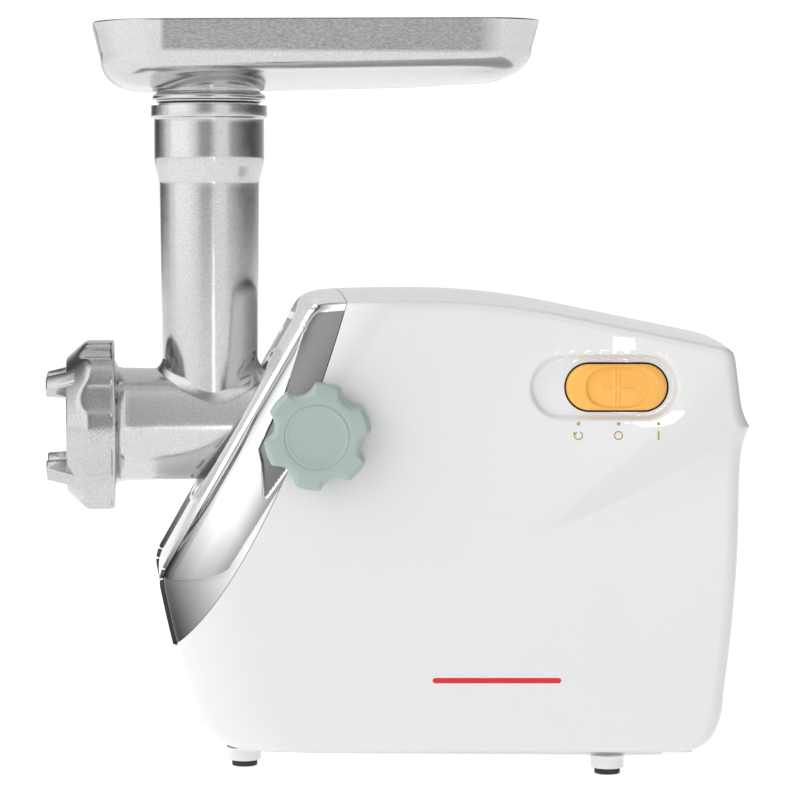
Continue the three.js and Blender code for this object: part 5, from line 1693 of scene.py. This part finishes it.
@dataclass
class RingNut:
    """Fluted ring nut with four claws on its face."""

    front_x: float = -71.6
    rear_x: float = -47.7
    radius: float = 42.2
    face: float = 33.0
    chamfer: float = 10.0
    mouth: float = 24.5
    lip: float = 3.0
    bore: float = 33.4
    flute: float = 3.4
    flute_radius: float = 17.0
    lobes: int = 8
    claw_reach: float = 9.8
    claw_width: float = 9.0

    def fluted(self, count: int) -> Array:
        """Radius of the fluted rim at equal angles.

        Args:
            count: Number of angles.

        Returns:
            The radii.
        """
        angle = np.arange(count) * TURN / count
        reach = self.radius + self.flute_radius - self.flute
        off = angle % (TURN / self.lobes) - math.pi / self.lobes
        side = np.abs(reach * np.sin(off))
        depth = np.sqrt(np.maximum(self.flute_radius**2 - side**2, 0))
        radii = np.where(side < self.flute_radius, np.minimum(self.radius, reach * np.cos(off) - depth),
                         self.radius)
        window = np.hanning(15)
        window /= window.sum()
        padded = np.concatenate([radii[-7:], radii, radii[:7]])
        return np.convolve(padded, window, "valid")

    def body(self) -> bpy.types.Object:
        """The ring without its claws."""
        count = 640
        rim = self.fluted(count)
        flat = lambda radius: np.full(count, radius)
        slope = (self.radius - self.face) / self.chamfer
        layers: list[tuple[Array, float]] = []
        x = self.front_x
        for depth in np.linspace(0.35, self.chamfer + 1.2, 22):
            cone = self.face + slope * depth
            soft = 0.6
            blend = -soft * np.log(np.exp(-cone / soft) + np.exp(-rim / soft))
            layers.append((np.minimum(blend, self.radius), x + depth))
        for level in np.linspace(x + self.chamfer + 2, self.rear_x - 2.4, 10):
            layers.append((rim, level))
        lip = self.radius
        for share in np.linspace(0, 1, 6):
            layers.append((rim + (lip - rim) * float(ease(0, 1, np.float64(share))),
                           self.rear_x - 2.2 + 0.9 * share))
        layers += [(flat(lip), self.rear_x - 0.5), (flat(lip - 0.15), self.rear_x - 0.15),
                   (flat(lip - 0.5), self.rear_x)]
        layers += [(flat(self.bore + 0.8), self.rear_x), (flat(self.bore), self.rear_x - 0.8)]
        layers += [(flat(self.bore), x + self.lip + 0.3), (flat(self.bore - 0.3), x + self.lip)]
        layers += [(flat(self.mouth + 0.4), x + self.lip), (flat(self.mouth), x + self.lip - 0.4)]
        layers += [(flat(self.mouth), x + 1.0), (flat(self.mouth + 0.3), x + 0.3),
                   (flat(self.mouth + 1.0), x)]
        layers += [(flat(self.face - 0.9), x), (flat(self.face - 0.25), x + 0.1)]
        radii = np.array([r for r, _ in layers])
        levels = np.array([v for _, v in layers])
        return Skin().grid(rings(along_x(), radii, levels), close_u=True, close_v=True).thing("nut_body")

    def claw(self, angle: float) -> bpy.types.Object:
        """One claw.

        Args:
            angle: Its direction round the axis.

        Returns:
            The claw as a rounded wedge.
        """
        r, x, tip = self.face, self.front_x, self.front_x - self.claw_reach
        side = np.array([[r - 8, x + 1.2], [r + 4.0, x + 5.0], [r - 0.8, tip + 0.6], [r - 1.6, tip],
                         [r - 7, tip]])
        outward = (0, math.cos(angle), math.sin(angle))
        sideways = (0, -math.sin(angle), math.cos(angle))
        half = self.claw_width / 2
        low, high = side.copy(), side.copy()
        loops = []
        frame = Frame((0, 0, AXIS_Z), outward, (1, 0, 0), sideways)
        for level, grow in ((-half, 0.0), (half, 0.0)):
            loops.append(frame.place(np.column_stack([(low if level < 0 else high) + grow,
                                                      np.full(len(side), level)])))
        wedge = Skin().grid(np.array(loops), close_v=True).cap(loops[0]).cap(loops[1]).thing("tool_claw")
        return eased_edges(wedge, 1.1, 3)

    def build(self, shop: Workshop) -> None:
        """Builds and fits the nut."""
        claws = [self.claw((n + 0.5) * TURN / 4) for n in range(4)]
        nut = combine(self.body(), claws, Join.ADD)
        nut.name = "fluted_nut"
        shop.fit(nut, "nut", "cast_aluminium", ["ring_nut"], shop.nut_alloy, 36)


@dataclass
class CuttingPlate:
    """Perforated steel plate in the ring nut's mouth."""

    radius: float = 27.0
    front_x: float = -68.3
    rear_x: float = -63.3
    hole: float = 2.4
    centre_hole: float = 4.4
    rows: tuple[tuple[float, int], ...] = ((9.5, 6), (18.0, 12))

    def build(self, shop: Workshop) -> None:
        """Builds and fits the plate."""
        a, b = self.front_x, self.rear_x
        profile = [(self.centre_hole, a), (self.radius, a), (self.radius, b), (self.centre_hole, b),
                   (self.centre_hole, a)]
        plate = lathe("hole_plate", along_x(), softened(profile, 0.4, 3), 96)
        bores = []
        for reach, count in self.rows:
            for n in range(count):
                turn = n * TURN / count
                spot = along_x(0, reach * math.cos(turn), AXIS_Z + reach * math.sin(turn))
                bores.append(lathe(f"tool_hole_{len(bores)}", spot, rod(self.hole, a - 1, b + 1), 28))
        shop.fit(combine(plate, [merged(bores)], Join.CUT), "plate", "steel", ["cutting_plate"])


# ---- tray --------------------------------------------------------------------------------------


@dataclass
class FoodTray:
    """Cast tray with its collar."""

    length: float = 218.5
    width: float = 116.0
    corner: float = 31.0
    left_x: float = -57.3
    rim_z: float = 365.0
    depth: float = 35.0
    wall: float = 2.2
    rim_lift: float = 2.0
    right_lift: float = 4.4
    wall_run: float = 3.8
    wall_drop: float = 16.0
    end_fillet: float = 25.0
    side_fillet: float = 11.0
    side_fall: float = 9.0
    neck_bore: float = 21.0
    seat_z: float = 303.0

    def end_drop(self, inset: Array) -> Array:
        """Depth under the rim at a distance in from an end."""
        share = np.clip((inset - self.wall_run) / self.end_fillet, 0, 1)
        deep = self.wall_drop + (self.depth - self.wall_drop) * np.sqrt(1 - (1 - share) ** 2)
        return np.where(inset < self.wall_run, self.wall_drop * inset / self.wall_run, deep)

    def side_drop(self, inset: Array) -> Array:
        """Depth under the rim at a distance in from a long side."""
        share = np.clip((inset - self.wall_run) / self.side_fillet, 0, 1)
        past = np.maximum(0, inset - self.wall_run - self.side_fillet)
        floor = self.width / 2 - self.wall_run - self.side_fillet
        fillet = (self.depth - self.side_fall - self.wall_drop) * np.sqrt(1 - (1 - share) ** 2)
        deep = self.wall_drop + fillet + self.side_fall * (past / floor) ** 0.9
        return np.where(inset < self.wall_run, self.wall_drop * inset / self.wall_run, deep)

    def loop(self, inset: float, wall: float) -> Array:
        """One ring of the pan's outside, or of its inside for a wall.

        Args:
            inset: Distance in from the rim.
            wall: Thickness between this surface and the outside.

        Returns:
            Points of the ring.
        """
        middle = self.left_x + self.length / 2
        radius = max(0.2, self.corner - wall - inset)
        a = self.length / 2 - wall - inset - radius
        b = self.width / 2 - wall - inset - radius
        places: list[tuple[float, float]] = []
        for quarter, (du, dv) in enumerate(((a, b), (-a, b), (-a, -b), (a, -b))):
            turn = (quarter + np.linspace(0, 1, 15)) * math.pi / 2
            places += list(zip(du + radius * np.cos(turn), dv + radius * np.sin(turn)))
            after = ((a, b), (-a, b), (-a, -b), (a, -b))[(quarter + 1) % 4]
            end = (after[0] + radius * math.cos(turn[-1]), after[1] + radius * math.sin(turn[-1]))
            count = 34 if quarter % 2 == 0 else 16
            for share in np.linspace(0, 1, count + 1)[1:-1]:
                start = places[-1] if share == 0 else (du + radius * math.cos(turn[-1]),
                                                       dv + radius * math.sin(turn[-1]))
                places.append((start[0] + share * (end[0] - start[0]),
                               start[1] + share * (end[1] - start[1])))
        dx, y = np.array(places).T
        from_end = self.length / 2 - wall - np.abs(dx) + 0.01
        from_side = self.width / 2 - wall - np.abs(y) + 0.01
        end_share = from_side**2 / (from_side**2 + from_end**2)
        flat = np.full(dx.shape, inset)
        drop = end_share * self.end_drop(flat) + (1 - end_share) * self.side_drop(flat)
        x = middle + dx
        share = (x - self.left_x) / self.length
        deep = drop / self.depth
        lift = share * (self.rim_lift + self.right_lift * deep)
        return np.column_stack([x, y, self.rim_z - drop + lift + wall * deep])

    def pan(self) -> bpy.types.Object:
        """The pan with its rounded rim."""
        run = self.wall_run
        inward = np.array([0, 0.4, 1.2, 2.4, 4, 6, 8.5, 11, 14, 17.5, 21, 25, 30, 36, 43, 50])
        insets = np.concatenate([[0.0, 0.5], np.linspace(1.2, run - 0.4, 4), run + inward])
        insets = np.append(insets, self.width / 2 - self.wall - 0.3)
        outside = [self.loop(float(i), 0.0) for i in insets[::-1]]
        inside = [self.loop(float(i), self.wall) for i in insets]
        rim = []
        for turn in np.linspace(0, math.pi, 7)[1:-1]:
            a, b = outside[-1], inside[0]
            middle, arm = (a + b) / 2, (a - b) / 2
            spot = middle + arm * math.cos(turn)
            spot[:, 2] += self.wall / 2 * math.sin(turn) * 0.7 - 0.75
            rim.append(spot)
        outside[-1] = outside[-1] - np.array([0, 0, 0.75])
        inside[0] = inside[0] - np.array([0, 0, 0.75])
        loops = np.array([*outside, *rim, *inside])
        return Skin().grid(loops, close_v=True).cap(loops[0]).cap(loops[-1]).thing("meat_tray")

    def build(self, shop: Workshop) -> None:
        """Builds and fits the tray."""
        pan = self.pan()
        z, seat = 328.4, self.seat_z + 0.3
        collar = [(0, seat), (24.6, seat), (25.1, seat + 0.6), (25.1, z - 1.8), (26.2, z - 1.2),
                  (26.4, z - 0.2), (28, z), (28, z + 1.9), (27.2, z + 2.6), (25.6, z + 3.6),
                  (25.0, z + 4.4), (25.6, z + 5.0), (25.2, z + 6.2), (24.0, z + 11), (0, z + 11)]
        boss = lathe("tool_boss", along_z(), softened(collar, 0.45, 3), 128)
        wide = [self.loop(float(i), self.wall) for i in (0, self.wall_run, 8, 16, 28, 42,
                                                         self.width / 2 - self.wall - 0.3)]
        air = np.array([wide[0] + np.array([0, 0, 9.0]), *wide])
        above = Skin().grid(air, close_v=True).cap(air[0]).cap(air[-1]).thing("tool_air")
        combine(boss, [above], Join.CUT)
        combine(pan, [boss], Join.ADD)
        hole = lathe("tool_hole", along_z(), rod(self.neck_bore, seat - 2, 362), 128)
        shop.fit(combine(pan, [hole], Join.CUT), "tray", "cast_aluminium", ["food_tray"], shop.tray_alloy, 40)


# ---- printed marks -----------------------------------------------------------------------------


@dataclass
class Marks:
    """Gold position marks under the switch and a plain red line low on the side."""

    form: HousingForm = FORM
    level: float = 171.9
    stations: tuple[float, float, float] = (173.1, 192.2, 211.3)
    symbol_drop: float = 5.6
    line_at: tuple[float, float] = (134.5, 47.6)
    line_size: tuple[float, float] = (62.0, 2.6)

    def print_on(self, name: str, at: tuple[float, float], outline: Array) -> bpy.types.Object:
        """A thin print on the switch side.

        Args:
            name: Name of the piece.
            at: Its place (x, z).
            outline: Its outline round that place.

        Returns:
            The print.
        """
        rise = float(Shoulder().rise(np.float64(at[0]), np.float64(at[1])))
        return slab(name, self.form.side_frame(*at), outline, rise - 0.4, rise + 0.12)

    def band(self, radius: float, width: float, start: float, end: float, count: int = 40) -> Array:
        """Outline of an arc of a given width.

        Args:
            radius: Mean radius.
            width: Width of the arc.
            start: First angle in degrees.
            end: Last angle in degrees.
            count: Steps.

        Returns:
            The outline.
        """
        turn = np.radians(np.linspace(start, end, count))
        outer = (radius + width / 2) * np.column_stack([np.cos(turn), np.sin(turn)])
        inner = (radius - width / 2) * np.column_stack([np.cos(turn), np.sin(turn)])
        return np.concatenate([outer, inner[::-1]])

    def build(self, shop: Workshop) -> None:
        """Builds and fits every print."""
        circle = stadium(1.61, 1.6, 12)
        low = self.level - self.symbol_drop
        prints = [self.print_on(f"dot_{n}", (x, self.level), circle) for n, x in enumerate(self.stations)]
        back, off, on = ((x, low) for x in self.stations)
        prints.append(self.print_on("back_arc", back, self.band(1.9, 0.55, 150, 420)))
        tip = np.array([[-1.1, 0.1], [0.2, -1.1], [1.1, 0.7]])
        prints.append(self.print_on("back_tip", (back[0] - 1.7, back[1] + 1.1), tip))
        prints.append(self.print_on("off_arc", off, self.band(1.9, 0.55, 0, 180)))
        prints.append(self.print_on("off_arc_low", off, self.band(1.9, 0.55, 180, 360)))
        prints.append(self.print_on("on_bar", on, block((-0.4, -2.1), (0.4, 2.1))))
        shop.fit(rename(merged(prints), "position_marks"), "housing", "brass", ink=shop.gold)
        line = self.print_on("side_line", self.line_at, stadium(*self.line_size))
        shop.fit(line, "housing", "white_plastic", ink=shop.red)


def rename(thing: bpy.types.Object, name: str) -> bpy.types.Object:
    """Gives an object another name and returns it."""
    thing.name = name
    return thing


# ---- studio ------------------------------------------------------------------------------------


@dataclass(frozen=True)
class SoftBox:
    """One rectangular studio light."""

    name: str
    place: tuple[float, float, float]
    aim: tuple[float, float, float]
    size: tuple[float, float]
    power: float
    mirrored: bool = False

    def build(self) -> None:
        """Adds the light."""
        lamp = bpy.data.lights.new(self.name, "AREA")
        lamp.shape = "RECTANGLE"
        lamp.size, lamp.size_y = self.size
        lamp.energy = self.power
        thing = bpy.data.objects.new(self.name, lamp)
        thing.visible_glossy = self.mirrored
        thing.location = self.place
        thing.rotation_euler = (Vector(self.aim) - Vector(self.place)).to_track_quat("-Z", "Y").to_euler()
        bpy.context.scene.collection.objects.link(thing)


@dataclass
class Studio:
    """Pale floor, soft lights and the camera."""

    eye: tuple[float, float, float] = (-0.14396, -1.45, 0.28367)
    yaw: float = 5.9
    pitch: float = 4.14
    lens: float = 130.5
    lights: tuple[SoftBox, ...] = (
        SoftBox("key", (-0.8, -1.0, 0.75), (0.0, -0.1, 0.12), (0.7, 0.7), 1.4),
        SoftBox("left", (-1.5, -0.1, 1.1), (-0.1, 0.0, 0.2), (1.0, 1.0), 5),
        SoftBox("fill", (1.3, -1.2, 0.7), (0.0, 0.0, 0.18), (0.9, 1.4), 0.2),
        SoftBox("back", (0.2, 1.5, 1.2), (0.0, 0.0, 0.2), (1.6, 0.9), 3),
        SoftBox("top", (0.0, 0.0, 1.9), (0.0, 0.0, 0.2), (1.4, 1.4), 4.5),
        SoftBox("window", (0.0694, -1.478, 0.0745), (0.1048, -0.0825, 0.18), (0.02, 0.137), 0.14, True),
    )

    def camera(self) -> None:
        """Adds the camera."""
        lens = bpy.data.cameras.new("camera")
        lens.lens, lens.sensor_width = self.lens, 36.0
        lens.clip_start, lens.clip_end = 0.05, 50.0
        camera = bpy.data.objects.new("camera", lens)
        camera.location = self.eye
        yaw, pitch = math.radians(self.yaw), math.radians(self.pitch)
        ahead = Vector((math.sin(yaw) * math.cos(pitch), math.cos(yaw) * math.cos(pitch), -math.sin(pitch)))
        camera.rotation_euler = ahead.to_track_quat("-Z", "Y").to_euler()
        bpy.context.scene.collection.objects.link(camera)
        bpy.context.scene.camera = camera

    def floor(self) -> None:
        """Adds the floor."""
        reach = 6000.0
        corners = np.array([[[x, y, -0.05] for y in (-reach, reach)] for x in (-reach, reach)])
        floor = Skin().grid(corners).thing("floor")
        p = Palette("studio floor")
        p.set(Base_Color=(0.6, 0.6, 0.6, 1), Roughness=0.8, Emission_Color=(1, 1, 1, 1),
              Emission_Strength=0.66)
        floor.data.materials.append(p.material)

    def surroundings(self) -> None:
        """White room with a few darker bands that shiny surfaces pick up."""
        world = bpy.data.worlds.new("room")
        bpy.context.scene.world = world
        world.use_nodes = True
        tree = world.node_tree
        nodes, links = tree.nodes, tree.links
        coords = nodes.new("ShaderNodeTexCoord")
        split = nodes.new("ShaderNodeSeparateXYZ")
        links.new(coords.outputs["Generated"], split.inputs[0])
        turn = nodes.new("ShaderNodeMath")
        turn.operation = "ARCTAN2"
        links.new(split.outputs["Y"], turn.inputs[0])
        links.new(split.outputs["X"], turn.inputs[1])
        share = nodes.new("ShaderNodeMapRange")
        share.inputs["From Min"].default_value = -math.pi
        share.inputs["From Max"].default_value = math.pi
        links.new(turn.outputs[0], share.inputs["Value"])
        ramp = nodes.new("ShaderNodeValToRGB")
        links.new(share.outputs["Result"], ramp.inputs[0])
        bands = (
            (0.0, 0.95), (0.03, 1.0), (0.11, 1.0), (0.16, 0.7), (0.2, 0.27), (0.245, 0.27), (0.29, 0.75),
            (0.345, 0.75), (0.375, 0.3), (0.46, 0.1), (0.516, 0.04), (0.58, 0.1), (0.64, 0.25), (0.70, 0.55),
            (0.78, 0.5), (0.82, 0.1), (0.87, 0.05), (0.93, 0.3), (0.97, 0.7),
        )
        points = ramp.color_ramp.elements
        for n, (place, level) in enumerate(bands):
            point = points[n] if n < 2 else points.new(place)
            point.position = place
            point.color = (level, level, level, 1)
        back = nodes["Background"]
        links.new(ramp.outputs["Color"], back.inputs["Color"])
        back.inputs["Strength"].default_value = 1.4
        white = nodes.new("ShaderNodeBackground")
        white.inputs["Color"].default_value = (1, 1, 1, 1)
        white.inputs["Strength"].default_value = 1.05
        path = nodes.new("ShaderNodeLightPath")
        mix = nodes.new("ShaderNodeMixShader")
        links.new(path.outputs["Is Camera Ray"], mix.inputs["Fac"])
        links.new(back.outputs[0], mix.inputs[1])
        links.new(white.outputs[0], mix.inputs[2])
        links.new(mix.outputs[0], nodes["World Output"].inputs["Surface"])

    def build(self) -> None:
        """Sets the studio up."""
        bpy.context.scene.view_settings.view_transform = "Standard"
        self.camera()
        self.floor()
        self.surroundings()
        for light in self.lights:
            light.build()


def main() -> None:
    """Builds the whole model in order."""
    logging.basicConfig(level=logging.INFO, format="%(name)s %(message)s")
    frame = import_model()
    Studio().build()
    shop = Workshop(frame)
    sub_assemblies: Sequence[object] = (
        Housing(),
        FrontPanel(),
        CornerTrim(-1, "trim_near", "trim_switch_side"),
        CornerTrim(1, "trim_far", "trim_far_side"),
        SwitchRocker(),
        ClampKnob(),
        GrindingHead(),
        RingNut(),
        CuttingPlate(),
        FoodTray(),
        Marks(),
    )
    for assembly in sub_assemblies:
        assembly.build(shop)
    shop.dress_frame()


if __name__ == "__main__":
    main()
